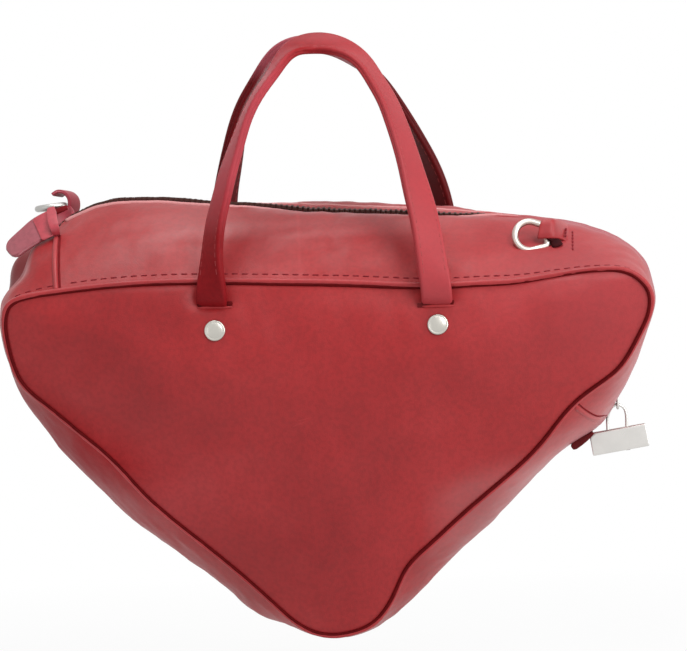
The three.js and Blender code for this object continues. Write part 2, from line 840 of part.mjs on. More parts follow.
function strapSections(side) {
  const curve = handlePath(side);
  const steps = 30;
  const facing = vec(0, side, 0);
  return spread(0, 1, steps).map((share) => {
    const point = curve.getPointAt(share);
    const along = curve.getTangentAt(share);
    const fromSlot = 1 - Math.abs(2 * share - 1);
    const turn = handleTwist * degrees * THREE.MathUtils.smoothstep(fromSlot, 0.05, 0.85);
    const forward = facing.clone().addScaledVector(along, -facing.dot(along)).normalize();
    const outer = forward.clone().cross(along).multiplyScalar(-side).normalize();
    const face = forward.multiplyScalar(Math.cos(turn)).addScaledVector(outer, -Math.sin(turn));
    const width = along.clone().cross(face).normalize();
    return strapSection(point, width, face);
  });
}

// A strap's cross-section with its long edges rounded off.
function strapSection(point, width, face) {
  const w = strapWidth / 2;
  const h = strapThickness / 2;
  const c = strapRounding;
  const corners = [
    [w - c, h],
    [w, h - c],
    [w, c - h],
    [w - c, -h],
    [c - w, -h],
    [-w, c - h],
    [-w, h - c],
    [c - w, h],
  ];
  return corners.map(([a, b]) => point.clone().addScaledVector(width, a).addScaledVector(face, b));
}

function makeHandle(name, side) {
  addPiece(name, loftBody(strapSections(side), false), darkLeather);
}

// The strap's end behind the panel, which comes back out through the slot.
function makeAnchor(name, side, x) {
  const heights = [slotZ - anchorThickness / 2, slotZ - anchorBend, rivetZ, anchorBottomZ];
  const near = leather + anchorGap;
  const far = near + anchorThickness;
  const profile = new THREE.Shape();
  const stub = topFaceDepth(slotZ) + strapStandOff - strapThickness / 2 - seamGap;
  const top = slotZ + anchorThickness / 2;
  const face = (z, inset) => topFaceDepth(z) - inset;
  profile.moveTo(stub, top);
  profile.lineTo(stub, heights[0]);
  for (const z of heights) {
    profile.lineTo(face(z, near), z);
  }
  for (const z of [...heights].reverse()) {
    profile.lineTo(face(z, far), z);
  }
  profile.lineTo(face(top, far), top);
  const strap = new THREE.ExtrudeGeometry(profile, { depth: strapWidth, bevelEnabled: false });
  strap.rotateX(90 * degrees);
  strap.rotateZ(90 * degrees);
  strap.translate(x - strapWidth / 2, 0, 0);
  const body = side > 0 ? strap : mirrorBack(strap);
  addPiece(name, cut(body, rivetHole(side, x)), darkLeather);
}

// The same body on the other side of the bag's middle plane.
function mirrorBack(geometry) {
  const bare = geometry.clone();
  bare.deleteAttribute("normal");
  bare.deleteAttribute("uv");
  const merged = mergeVertices(bare);
  const position = merged.attributes.position;
  const points = Array.from({ length: position.count }, (_, index) =>
    vec(position.getX(index), -position.getY(index), position.getZ(index))
  );
  const index = [...merged.index.array];
  const triangles = [];
  for (let start = 0; start < index.length; start += 3) {
    triangles.push(index.slice(start, start + 3));
  }
  return closedBody(points, triangles);
}

function makeRivet(suffix, side, x) {
  const under = fitGap;
  const end = -(leather + anchorGap + anchorThickness + fitGap);
  const profile = [
    [0, end],
    [shankRadius, end],
    [shankRadius, under],
    [capRadius - 0.4, under],
    [capRadius, under + 0.4],
    [capRadius - 0.5, under + capRim],
    [capRadius * 0.6, under + capHeight * 0.85],
    [0, under + capHeight],
  ].map(([radius, height]) => new THREE.Vector2(radius, height));
  const cap = new THREE.LatheGeometry(profile, 12);
  addPiece(`rivet_cap_${suffix}`, toRivet(uprightTurned(cap), side, x), nickel);
  const back = new THREE.CylinderGeometry(backRadius, backRadius, backThickness, 12);
  back.translate(0, end - fitGap - backThickness / 2, 0);
  addPiece(`rivet_back_${suffix}`, toRivet(uprightTurned(back), side, x), nickel);
}

// Turns a piece that was turned about Y to stand along Z.
function uprightTurned(geometry) {
  return geometry.rotateX(90 * degrees);
}

// D-rings: the straight bar lies in a folded leather loop that is sewn to the band.

const barHeight = fitGap + loopLeather + fitGap + ringWire;

function ringPath() {
  const half = ringWidth / 2 - ringWire;
  const reach = ringReach - 2 * ringWire;
  const straight = reach - half;
  const bow = spread(90, 270, 8).map((angle) =>
    vec(-straight + half * Math.cos(angle * degrees), half * Math.sin(angle * degrees), 0)
  );
  return [vec(0, half, 0), ...bow, vec(0, -half, 0)];
}

// The loop's outline, seen along the bar: a round eye with a flat tail to the right.
function loopShape(tailLength) {
  const hole = ringWire + fitGap;
  const eye = hole + loopLeather;
  const tail = 2 * loopLeather;
  const low = -eye;
  const outline = new THREE.Shape();
  outline.moveTo(0, low);
  outline.lineTo(tailLength, low);
  outline.lineTo(tailLength, low + tail);
  outline.lineTo(eye * 1.1, low + tail);
  outline.lineTo(eye * 0.85, eye * 0.55);
  outline.absarc(0, 0, eye, 33 * degrees, 270 * degrees, false);
  const opening = new THREE.Path();
  opening.absarc(0, 0, hole, 0, 360 * degrees, true);
  outline.holes.push(opening);
  return outline;
}

function placeRing(mesh, station, across) {
  placeOnGusset(mesh, station, across, barHeight);
  mesh.translateX(-sewnFromBar);
}

function makeRing(name, station, across, tailLength) {
  const loop = new THREE.ExtrudeGeometry(loopShape(tailLength), {
    depth: loopWidth,
    bevelEnabled: false,
    curveSegments: 8,
  });
  loop.rotateX(90 * degrees);
  loop.translate(0, loopWidth / 2, 0);
  placeRing(addPiece(`${name}_loop`, loop, redLeather), station, across);
  const ring = wireBody(ringPath(), vec(0, 0, 1), ringWire, 8, true);
  placeRing(addPiece(name, ring, nickel), station, across);
}

// The station on the top edge whose middle-line point has the given x.
function stationAtX(x) {
  for (let station = 0; station < cornerStation(2); station += 0.05) {
    if (linePoint(ridgeLine, station).x >= x) {
      return station;
    }
  }
  return 0;
}

// Leather tongues at the zip's ends.

function tongueShape(length, width) {
  const half = width / 2;
  const shape = new THREE.Shape();
  shape.moveTo(0, -half);
  shape.lineTo(length - half, -half);
  shape.absarc(length - half, 0, half, -90 * degrees, 90 * degrees, false);
  shape.lineTo(0, half);
  return shape;
}

function tongueBody(length, width) {
  return new THREE.ExtrudeGeometry(tongueShape(length, width), {
    depth: tongueThickness,
    bevelEnabled: false,
    curveSegments: 8,
  });
}

// The left tongue lies on the front side of the shoulder and points down to the left.
function makeLeftTongue() {
  const mesh = addPiece("left_zip_tongue", tongueBody(leftTongueLength, leftTongueWidth), redLeather);
  const along = vec(-Math.cos(leftTonguePitch * degrees), 0, -Math.sin(leftTonguePitch * degrees));
  const level = vec(0, -1, 0);
  const face = along.clone().cross(level).applyAxisAngle(along, -leftTongueRoll * degrees);
  const across = face.clone().cross(along);
  mesh.quaternion.setFromRotationMatrix(new THREE.Matrix4().makeBasis(along, across, face));
  const { outwards } = gussetFrame(endFold, leftTongueAcross);
  mesh.position.copy(gussetPoint(endFold, leftTongueAcross)).addScaledVector(outwards, leftTongueLift);
}

function makeRightTongue() {
  const mesh = addPiece("right_zip_tongue", tongueBody(rightTongueLength, rightTongueWidth), redLeather);
  placeOnGusset(mesh, stationPast(lowerHip, rightTongueStart), 0, fitGap);
  mesh.rotateY(-rightTongueLift * degrees);
}

// The closed end of the zip under the left tongue.
function makeLeftZipEnd(from, to) {
  const acrossAt = (station) => {
    const reach = tapeReach / halfDepthAt(station);
    return [-reach, 0, reach];
  };
  const tape = gussetStrip(from, to, acrossAt, () => [tapeTop, tapeTop + tapeThickness]);
  addPiece("zip_left_end", tape, zipCloth);
}

// Assembly.

const sides = [
  { word: "front", side: -1 },
  { word: "back", side: 1 },
];

function after(station) {
  return station + stationGap(station, halfJoint);
}

function before(station) {
  return station - stationGap(station, halfJoint);
}

for (const { word, side } of sides) {
  const teethEnd = stopStation - stationGap(stopStation, stopGap);
  makePanel(`${word}_panel`, side);
  makeWelt(`${word}_welt`, side);
  makePanelLining(`${word}_lining`, side);
  makeBand(`${word}_end_band`, side, after(endFold), before(mouthStart));
  makeBand(`${word}_zip_band`, side, after(mouthStart), before(mouthEnd));
  makeBand(`${word}_corner_band`, side, after(mouthEnd), before(crossSeam));
  makeTape(`zip_tape_${word}`, side, after(mouthStart), before(mouthEnd));
  makeTeeth(`zip_teeth_${word}`, side, after(mouthStart), before(mouthEnd));
  makeTape(`zip_tape_corner_${word}`, side, after(mouthEnd), teethEnd);
  makeTeeth(`zip_teeth_corner_${word}`, side, after(mouthEnd), teethEnd);
  makeHandle(`handle_${word}`, side);
  for (const [hand, x] of [["left", -handleX], ["right", handleX]]) {
    makeAnchor(`handle_anchor_${word}_${hand}`, side, x);
    makeRivet(`${word}_${hand}`, side, x);
  }
}

makeGusset("lower_gusset", after(crossSeam), before(leftCorner));
makeGusset("left_end_gusset", after(leftCorner), before(stationCount + endFold));
makeGussetLining("gusset_lining", crossSeam + 1, leftCorner - 1);
makeLeftZipEnd(endFold + 0.1, before(mouthStart));
makeSlider();
makePuller();
makeZipStop();
makePadlock();
makeRing("d_ring_right", stationAtX(rightSewnX), rightRingAcross, rightLoopTail);
makeRing("d_ring_left", stationAtX(leftSewnX), leftRingAcross, leftLoopTail);
makeLeftTongue();
makeRightTongue();

export default group;
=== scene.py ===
import math

import bmesh
import bpy
import numpy as np
from mathutils import Matrix, Vector


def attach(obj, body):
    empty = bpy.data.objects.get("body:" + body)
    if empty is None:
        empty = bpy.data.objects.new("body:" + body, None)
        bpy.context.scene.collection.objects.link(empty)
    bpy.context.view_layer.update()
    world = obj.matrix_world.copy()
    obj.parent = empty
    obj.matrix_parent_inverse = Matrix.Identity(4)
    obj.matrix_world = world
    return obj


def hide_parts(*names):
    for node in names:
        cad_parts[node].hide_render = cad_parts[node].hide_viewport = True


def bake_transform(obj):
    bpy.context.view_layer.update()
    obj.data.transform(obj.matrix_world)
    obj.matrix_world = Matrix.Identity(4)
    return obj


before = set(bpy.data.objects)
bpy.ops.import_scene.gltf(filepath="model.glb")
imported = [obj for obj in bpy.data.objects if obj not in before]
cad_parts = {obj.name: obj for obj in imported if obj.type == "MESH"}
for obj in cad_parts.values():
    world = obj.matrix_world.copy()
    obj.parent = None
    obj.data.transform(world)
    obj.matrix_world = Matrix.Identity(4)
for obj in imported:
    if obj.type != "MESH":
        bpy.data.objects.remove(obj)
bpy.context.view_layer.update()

MM = 0.001
SIDES = (("front", -1), ("back", 1))

# camera
AZIMUTH = math.radians(2.5)
ELEVATION = math.radians(2.0)
ROLL = math.radians(1.7)
DISTANCE = 3000.0
PIXEL = 0.537  # millimetres to a pixel at the middle plane
FRAME_WIDTH = 687
SENSOR = 36.0
AIM = np.array([10.1, 0.0, -145.7])
BACK = np.array([
    math.sin(AZIMUTH) * math.cos(ELEVATION),
    -math.cos(AZIMUTH) * math.cos(ELEVATION),
    math.sin(ELEVATION),
])
RIGHT = np.array([math.cos(AZIMUTH), math.sin(AZIMUTH), 0.0])
UP = np.cross(BACK, RIGHT)
EYE = AIM + BACK * DISTANCE


def seen(u, v, y):
    """The point at depth y that the camera sees where it sees (u, 0, v)."""
    u, v, y = np.broadcast_arrays(np.asarray(u, float), np.asarray(v, float), np.asarray(y, float))
    target = AIM + (u - AIM[0])[..., None] * RIGHT + (v - AIM[2])[..., None] * UP
    ray = target - EYE
    reach = (y - EYE[1]) / ray[..., 1]
    return EYE + ray * reach[..., None]


def project(points):
    """Where the camera sees points, as (u, v)."""
    apart = points - AIM
    scale = DISTANCE / (DISTANCE - apart @ BACK)
    return np.stack([apart @ RIGHT * scale + AIM[0], apart @ UP * scale + AIM[2]], axis=-1)


def make_camera():
    data = bpy.data.cameras.new("camera")
    data.sensor_width = SENSOR
    data.lens = DISTANCE / PIXEL / FRAME_WIDTH * SENSOR
    data.clip_start = 0.05
    data.clip_end = 20.0
    camera = bpy.data.objects.new("camera", data)
    bpy.context.scene.collection.objects.link(camera)
    across = math.cos(ROLL) * RIGHT - math.sin(ROLL) * UP
    upwards = math.sin(ROLL) * RIGHT + math.cos(ROLL) * UP
    turn = Matrix([across, upwards, BACK]).transposed()
    camera.matrix_world = Matrix.Translation(Vector(EYE * MM)) @ turn.to_4x4()
    bpy.context.scene.camera = camera


make_camera()

# mesh helpers

RIM_BULGE = 0.42  # of a sheet's thickness
TIP_BULGE = 0.35  # of a tube's radius


def mesh_object(name, points, faces, look, smooth=True):
    mesh = bpy.data.meshes.new(name)
    mesh.from_pydata([tuple(p) for p in np.asarray(points) * MM], [], [tuple(f) for f in faces])
    mesh.update()
    work = bmesh.new()
    work.from_mesh(mesh)
    bmesh.ops.recalc_face_normals(work, faces=work.faces)
    work.to_mesh(mesh)
    work.free()
    if smooth:
        mesh.shade_smooth()
    mesh.materials.append(look)
    piece = bpy.data.objects.new(name, mesh)
    bpy.context.scene.collection.objects.link(piece)
    return piece


def add(name, made, finish, body, slot, *nodes, smooth=True):
    piece = mesh_object(name, *made, material[finish], smooth)
    if isinstance(body, str):
        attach(piece, body)
    else:
        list(body)
        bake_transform(piece)
    if nodes:
        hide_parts(*nodes)
    return piece


def on_body(name, made, finish, *nodes):
    """A piece that keeps still with the bag's leather."""
    return add(name, made, finish, "bag_body", "red_leather", *nodes)


def joined(parts):
    """Points and faces of several bodies as one."""
    points, faces, start = [], [], 0
    for some_points, some_faces in parts:
        points.append(np.asarray(some_points))
        faces.extend([tuple(i + start for i in f) for f in some_faces])
        start += len(some_points)
    return np.concatenate(points), faces


def unit(v):
    return v / np.maximum(np.linalg.norm(v, axis=-1, keepdims=True), 1e-9)


def square_to(v, axis):
    """The direction of v at right angles to the axis."""
    return unit(v - axis * np.sum(v * axis, axis=-1, keepdims=True))


def steps_along(path, ring=False):
    """Directions along rows of points."""
    if ring:
        return np.roll(path, -1, axis=0) - np.roll(path, 1, axis=0)
    return np.gradient(path, axis=0)


def grid_normals(grid, facing, ring=False):
    """Normals of a grid of points, on the side that facing points to."""
    normals = unit(np.cross(steps_along(grid, ring), np.gradient(grid, axis=1)))
    return normals if np.mean(normals @ np.array(facing, float)) > 0 else -normals


def numbers(rows, columns):
    """Numbers of a grid's points, row by row."""
    return np.arange(rows * columns).reshape(rows, columns)


def quads(index, ring_rows=False, ring_columns=False):
    """Faces between neighbours in a table of point numbers."""
    if ring_rows:
        index = np.vstack([index, index[:1]])
    if ring_columns:
        index = np.hstack([index, index[:, :1]])
    corners = index[:-1, :-1], index[1:, :-1], index[1:, 1:], index[:-1, 1:]
    return np.stack(corners, axis=-1).reshape(-1, 4).tolist()


def fan(centre, ring):
    """Triangles from one point to a closed ring."""
    ring = ring.tolist()
    return [(centre, a, b) for a, b in zip(ring, ring[1:] + ring[:1])]


def shell(outer, normals, thickness, ring=False, hub=False):
    """A sheet of that thickness under a grid, with rounded rims. hub closes the first column to a point."""
    rows, columns = outer.shape[:2]
    inner = outer - normals * thickness
    index = numbers(rows, columns)
    under = index + index.size
    points = [outer.reshape(-1, 3), inner.reshape(-1, 3)]
    faces = quads(index, ring) + quads(under, ring)
    edges = [np.concatenate([index[:, 0], index[-1, 1:], index[-2::-1, -1], index[0, -2:0:-1]])]
    if ring:
        edges = [index[:, -1]] if hub else [index[:, 0], index[:, -1]]
    start = 2 * index.size
    for edge in edges:
        i, k = np.divmod(edge, columns)
        inside = outer[i if ring else np.clip(i, 1, rows - 2), np.clip(k, 1, columns - 2)]
        bulge = unit(outer[i, k] - inside) * thickness * RIM_BULGE
        points.append((outer[i, k] + inner[i, k]) / 2 + bulge)
        rim = np.arange(start, start + len(edge))
        faces += quads(np.stack([edge, rim, under[i, k]]), False, True)
        start += len(edge)
    if hub:
        centre = outer[:, 0].mean(axis=0)
        points.append([centre, centre - normals[0, 0] * thickness])
        faces += fan(start, index[:, 0]) + fan(start + 1, under[:, 0])
    return np.concatenate(points), faces


def tube(path, radius, sides=12, ring=False, flat=None):
    """A round tube along a path. flat gives (direction, factor) to squeeze the section along a direction."""
    path = np.asarray(path, float)
    count = len(path)
    along = unit(steps_along(path, ring))
    reference = np.zeros((count, 3))
    guess = np.array([0.0, 1.0, 0.0]) if abs(along[0][1]) < 0.9 else np.array([1.0, 0.0, 0.0])
    for i in range(count):
        guess = square_to(guess, along[i])
        reference[i] = guess
    if ring:
        # spreads the leftover turn so that the ring closes
        turn = math.atan2(reference[0] @ np.cross(along[-1], reference[-1]), reference[0] @ reference[-1])
        turn = turn * np.linspace(0, 1, count)[:, None]
        reference = reference * np.cos(turn) + np.cross(along, reference) * np.sin(turn)
    other = np.cross(along, reference)
    radii = np.broadcast_to(np.asarray(radius, float), (count,))[:, None]
    angle = (2 * math.pi * np.arange(sides) / sides)[:, None]
    reach = radii[:, None] * (np.cos(angle) * reference[:, None] + np.sin(angle) * other[:, None])
    if flat is not None:
        direction, factor = flat
        reach = reach - direction * (reach @ direction)[..., None] * (1 - factor)
    points = (path[:, None] + reach).reshape(-1, 3)
    index = numbers(count, sides)
    faces = quads(index, ring, True)
    if not ring:
        tips = path[[0, -1]] + along[[0, -1]] * radii[[0, -1]] * [[-TIP_BULGE], [TIP_BULGE]]
        points = np.vstack([points, tips])
        faces += fan(index.size, index[0]) + fan(index.size + 1, index[-1])
    return points, faces


def turned(profile, steps, centre, axis):
    """A body turned about an axis. profile is (radius, height) from axis to axis."""
    profile = np.array(profile, float)
    axis = unit(np.asarray(axis, float))
    side = unit(np.cross(axis, [0.0, 0.0, 1.0] if abs(axis[2]) < 0.9 else [1.0, 0.0, 0.0]))
    angle = (2 * math.pi * np.arange(steps) / steps)[:, None]
    spokes = side * np.cos(angle) + np.cross(axis, side) * np.sin(angle)
    middles = centre + axis * profile[:, 1:]
    points = (middles[1:-1, None] + spokes * profile[1:-1, 0, None, None]).reshape(-1, 3)
    index = numbers(len(profile) - 2, steps)
    caps = fan(index.size, index[0]) + fan(index.size + 1, index[-1])
    return np.vstack([points, middles[[0, -1]]]), quads(index, False, True) + caps


def section_tube(path, widths, faces, section):
    """A body with a flat section swept along a path. section is (along width, along face)."""
    points = path[:, None] + widths[:, None] * section[:, :1] + faces[:, None] * section[:, 1:]
    index = numbers(len(path), len(section))
    return points.reshape(-1, 3), quads(index, False, True) + [index[0].tolist(), index[-1, ::-1].tolist()]


def ease(t):
    t = np.clip(t, 0, 1)
    return t * t * (3 - 2 * t)


def bump(t, middle, half):
    """1 at the middle, 0 from half away."""
    return ease(1 - np.abs(np.asarray(t, float) - middle) / half)


def lumps(points, size, seed):
    """Smooth noise between -1 and 1, of about that size in millimetres."""
    draw = np.random.default_rng(seed)
    total = np.zeros(points.shape[:-1])
    for weight in (1.0, 0.8, 0.6, 0.6, 0.5):
        direction = unit(draw.normal(size=3))
        cross = unit(draw.normal(size=3))
        phase, other = draw.uniform(0, 2 * math.pi, 2)
        bend = 1.3 * np.sin(points @ cross * 4 / size + other)
        total += weight * np.sin(points @ direction * 2 * math.pi / size + phase + bend)
        size *= 0.72
    return total / 2.2


def hermite(knots, values, slopes, gaps, where, after):
    """A cubic through the values with those slopes. after gives the number of the next knot."""
    i = np.clip(np.searchsorted(knots, where, side="right") - 1, 0, len(gaps) - 1)
    spread = (..., None)
    h = gaps[i][spread]
    t = (where - knots[i])[spread] / h
    j = after(i)
    return (
        (2 * t**3 - 3 * t**2 + 1) * values[i] + (t**3 - 2 * t**2 + t) * h * slopes[i]
        + (3 * t**2 - 2 * t**3) * values[j] + (t**3 - t**2) * h * slopes[j]
    )


def closed_spline(knots, values, period):
    """A periodic cubic curve through the values, without jumps in bend, as a function of position."""
    gaps = np.diff(np.append(knots, knots[0] + period))
    count = len(knots)
    before, after = 1 / np.roll(gaps, 1), 1 / gaps
    matrix = np.diag(2 * (before + after))
    matrix[np.arange(count), np.arange(count) - 1] = before
    matrix[np.arange(count) - 1, np.arange(count)] = after[np.arange(count) - 1]
    rise = (np.roll(values, -1, axis=0) - values) * after[:, None] ** 2
    slopes = np.linalg.solve(matrix, 3 * (rise + np.roll(rise, 1, axis=0)))

    def at(where):
        where = np.mod(np.asarray(where, float) - knots[0], period) + knots[0]
        return hermite(knots, values, slopes, gaps, where, lambda i: (i + 1) % count)

    return at


def distances(points):
    """How far along a line each of its points lies."""
    return np.concatenate([[0], np.cumsum(np.linalg.norm(np.diff(points, axis=0), axis=1))])


def rows_at(where, places, rows):
    """Rows between those that belong to the places."""
    return np.stack([np.interp(where, places, column) for column in rows.T], axis=-1)


# body surface

# Round the outline, clockwise from the left shoulder: seam line across and up, then the line furthest out.
STATIONS = [
    (-140, -124, -137.6, -84.8), (-118, -122, -118, -76.8), (-98, -121, -98, -75), (-60, -121, -60, -77.5),
    (-20, -122.5, -20, -79.5), (20, -124.5, 20, -81.5), (62, -127, 62, -84.5), (84, -126.5, 88, -87),
    (103, -126, 112, -90), (120, -124, 132, -93.2), (137, -121.7, 150, -98.8), (152, -120.8, 163, -105),
    (163.5, -122.3, 171.5, -113.5), (171, -127.3, 176, -123.5), (174.8, -134.5, 177.8, -135),
    (174, -143, 175.8, -145), (169.5, -153, 171.2, -158), (159.5, -169.5, 164.5, -173.5),
    (149, -178.6, 156, -188.5), (133, -190.3, 146.5, -203), (117.5, -208, 129.5, -213.2),
    (97.1, -227.6, 104.5, -235.5), (69.6, -250, 79.5, -260), (51.9, -265.4, 61, -275.8),
    (39.4, -277.8, 48.5, -287.5), (32.5, -291, 38.5, -296.5), (26.1, -300.8, 29.5, -303.2),
    (19.5, -306.6, 20.5, -308.2), (10.5, -310.0, 10.5, -311.8), (0, -311.4, 0, -312.4),
    (-8.5, -310.1, -8.8, -311.3), (-19.6, -304.2, -22, -306.0), (-31.4, -293.6, -38, -299.5),
    (-50.5, -275.8, -57.3, -284), (-74.6, -255.2, -81.9, -265.1), (-98.6, -233.6, -107.6, -245.1),
    (-117.9, -212, -129, -223), (-131.5, -199.8, -141.6, -208.7), (-150.9, -182.9, -157, -187.1),
    (-163.4, -170.5, -165.8, -170), (-169, -156, -170, -154), (-171.3, -139.5, -173.2, -138.5),
    (-169.5, -131.3, -172.3, -127), (-163, -127.3, -169.5, -113), (-153, -125.4, -161.5, -100.3),
    (-146, -124.6, -149.5, -90.2),
]
CROSS_SEAM = 19  # stations where the bands meet the gusset, and the gusset the left end piece
LEFT_CORNER = 42
TOP_HALF_DEPTH = 60.0
TIP_HALF_DEPTH = 28.0
TOP_Z = -123.0
TIP_Z = -320.0
ARCH = 1.9
CROWN = 16.0
CROWN_POWER = 2.4
MIDDLE_Z = -190.0
LEATHER = 2.2
CLOTH = 0.9
CLOTH_DEPTH = LEATHER + 0.4  # of the linings, under the leather's outer face
SEWN_IN = 0.9  # of the welt's radius, from the seam to the panel's rim
SEAM_TURN = 0.75  # of the welt's radius, from the seam to the edge of bands and gusset
PLEAT = 43.7  # station of the left end's pleat
FRONT_PLEAT = 43.3
PUFFS = (0.7, 85, 3), (0.25, 30, 4)  # height, size and seed of the leather's swelling
HANGS = (0.9, 120, 8), (0.3, 45, 12)  # the same for the panels
# Radius of the welt from station to station: fuller along the top, thin down the slopes.
WELT = [0, 11, 16, 27, 30, 40, 44, 46], [1.6, 1.6, 1.15, 1.1, 1.0, 1.1, 1.5, 1.6]
# Radius of the dark tube that paints the shade in the groove inside the welt: widest down the right slope.
GROOVE = [0, 14, 17, 25, 28, 34, 41, 46], [1.05, 1.05, 1.1, 1.1, 0.8, 0.85, 1.0, 1.05]


def half_depth(z):
    share = np.clip((TOP_Z - z) / (TOP_Z - TIP_Z), 0, 1.1)
    return TOP_HALF_DEPTH + (TIP_HALF_DEPTH - TOP_HALF_DEPTH) * share


def outline_splines():
    table = np.array(STATIONS, float)
    seam = seen(table[:, 0], table[:, 1], -half_depth(table[:, 1]))[:, [0, 2]]
    around = unit(steps_along(seam, True))
    radius = np.interp(np.arange(len(table)), *WELT)
    seam = seam + np.stack([-around[:, 1], around[:, 0]], axis=-1) * radius[:, None] * SEWN_IN
    ridge = seen(table[:, 2], table[:, 3], 0.0)[:, [0, 2]]
    step = sum(np.linalg.norm(np.roll(line, -1, axis=0) - line, axis=1) for line in (seam, ridge)) / 2
    knots = np.concatenate([[0], np.cumsum(step)])
    period = knots[-1]
    knots = knots[:-1]
    return knots, period, closed_spline(knots, seam, period), closed_spline(knots, ridge, period)


KNOTS, PERIOD, seam_at, ridge_at = outline_splines()


def at_station(number):
    """Position along the outline of a station, which may lie between two rows of the table."""
    low = int(math.floor(number)) % len(KNOTS)
    after = KNOTS[low + 1] if low + 1 < len(KNOTS) else PERIOD
    return KNOTS[low] + (after - KNOTS[low]) * (number - math.floor(number))


def by_station(table, where):
    """The value at each place of a table of stations and values."""
    values = np.interp(np.arange(len(KNOTS) + 1), *table)
    return np.interp(np.mod(where, PERIOD), np.append(KNOTS, PERIOD), values)


def station_weight(where, middle, half):
    """Bump around a station, in millimetres along the outline."""
    apart = np.abs(np.mod(where - at_station(middle) + PERIOD / 2, PERIOD) - PERIOD / 2)
    return ease(1 - apart / half)


def middle_of(points):
    """Directions from points across and up to the body's middle."""
    return unit(np.array([0.0, MIDDLE_Z]) - points)


def outwards(points, normals):
    """The normals, turned where they point to the body's middle."""
    inwards = np.array([0.0, 0.0, MIDDLE_Z]) - points
    return np.where(np.sum(normals * inwards, axis=-1, keepdims=True) > 0, -normals, normals)


def body_surface(where, across):
    """Points of the bands and gusset. across runs from -1 at the front seam to 1 at the back seam."""
    where, across = np.broadcast_arrays(np.asarray(where, float), np.asarray(across, float))
    seam, ridge = seam_at(where), ridge_at(where)
    rise = 1 - np.abs(across) ** ARCH
    place_xz = seam + (ridge - seam) * rise[..., None]
    y = across * half_depth(seam[..., 1])
    x, z = place_xz[..., 0], place_xz[..., 1]
    on_top = ease((x + 48) / 45) * ease((112 - x) / 45) * (z > -110)
    # the back band stands higher than the zip
    lift = on_top * (5.4 * bump(across, 0.34, 0.4) - 3.3 * bump(across, -0.04, 0.34))
    # pleat of the left end
    inwards = middle_of(place_xz)
    fold = station_weight(where, PLEAT, 30) * 13 * bump(across, -0.03, 0.36)
    fold = fold - station_weight(where, PLEAT, 15) * 3.6 * bump(across, 0.36, 0.38)
    front = station_weight(where, FRONT_PLEAT, 17) * 6.2 * bump(across, -0.40, 0.44)
    place_xz = place_xz + inwards * (fold + front)[..., None]
    points = np.stack([place_xz[..., 0], y, place_xz[..., 1] + lift], axis=-1)
    away = np.stack([-inwards[..., 0], np.zeros_like(y), -inwards[..., 1]], axis=-1)
    edge = np.clip((1 - np.abs(across)) / 0.25, 0, 1)
    for height, size, seed in PUFFS:
        points = points + away * (edge * height * lumps(points, size, seed))[..., None]
    return points


def surface_frame(where, across):
    """Point and the directions along, across and outwards at one place."""
    small_s, small_a = 1.5, 0.02
    point = body_surface(where, across)
    along = unit(body_surface(where + small_s, across) - body_surface(where - small_s, across))
    over = unit(body_surface(where, across + small_a) - body_surface(where, across - small_a))
    out = unit(np.cross(along, over))
    return point, along, np.cross(out, along), out


def seam_margin(where, distance):
    """Share of across that a distance from the seam takes."""
    seam, ridge = seam_at(where), ridge_at(where)
    rise = np.linalg.norm(ridge - seam, axis=-1)
    return distance / np.hypot(half_depth(seam[..., 1]), ARCH * rise)


def between_seams(wheres, columns):
    """The surface from one welt to the other."""
    edge = 1 - seam_margin(wheres, by_station(WELT, wheres) * SEAM_TURN)
    return body_surface(wheres[:, None], np.linspace(-1, 1, columns) * edge[:, None])


# panels

PANELS = {}
STRAP_MARKS = [(-57.5, -133.0), (63.2, -133.6)]  # x and height of the slots
STRAP_DENT = 2.4
GROOVE_PROUD = 0.45


def panel_surface(side, where, share):
    """Points of a panel. share runs from 0 at its middle to 1 at the welt."""
    where, share = np.broadcast_arrays(np.asarray(where, float), np.asarray(share, float))
    seam = seam_at(where)
    centre = np.array([0.0, MIDDLE_Z])
    rim = seam + middle_of(seam) * by_station(WELT, where)[..., None] * SEWN_IN
    x, z = np.moveaxis(centre + (rim - centre) * share[..., None], -1, 0)
    y = half_depth(z) + CROWN * (1 - share**CROWN_POWER)
    # the straps press the panel in between the seam and their slots
    for slot_x, low in STRAP_MARKS:
        y = y - STRAP_DENT * bump(x, slot_x, 15) * ease((z - low + 2.5) / 5) * (1 - share**14)
    points = np.stack([x, side * y, z], axis=-1)
    hang = sum(height * lumps(points, size, seed + side) for height, size, seed in HANGS)
    points[..., 1] += side * (1 - share**6) * hang
    return points


def make_panel(word, side):
    rings = np.concatenate([np.linspace(0.02, 0.9, 44), np.linspace(0.915, 1.0, 9)])
    wheres = np.linspace(0, PERIOD, 420, endpoint=False)
    grid = panel_surface(side, wheres[:, None], rings)
    normals = grid_normals(grid, (0, side, 0), True)
    PANELS[side] = grid, normals
    on_body(f"{word}_panel_leather", shell(grid, normals, LEATHER, True, True), "leather", f"{word}_panel")

    wheres = np.linspace(0, PERIOD, 640, endpoint=False)
    seam = seam_at(wheres)
    path = np.stack([seam[:, 0], side * half_depth(seam[:, 1]), seam[:, 1]], axis=-1)
    radii = by_station(WELT, wheres) + 0.12 * lumps(path, 18, 21)
    on_body(f"{word}_welt_leather", tube(path, radii, 12, True), "trim", f"{word}_welt")

    # the dark line between panel and welt: a dark tube that paints the shade in the groove
    wheres = np.linspace(0, PERIOD, 560, endpoint=False)
    rim = panel_surface(side, wheres, 1.0) + np.array([0.0, side * GROOVE_PROUD, 0.0])
    on_body(f"{word}_seam_painted_shade", tube(rim, by_station(GROOVE, wheres), 8, True), "dark")

    grid, normals = grid[:, 1:-3], normals[:, 1:-3]
    lining = shell(grid - normals * CLOTH_DEPTH, normals, CLOTH, True)
    add(f"{word}_lining_cloth", lining, "lining", "bag_body", "lining_cloth", f"{word}_lining")


# bands and gusset

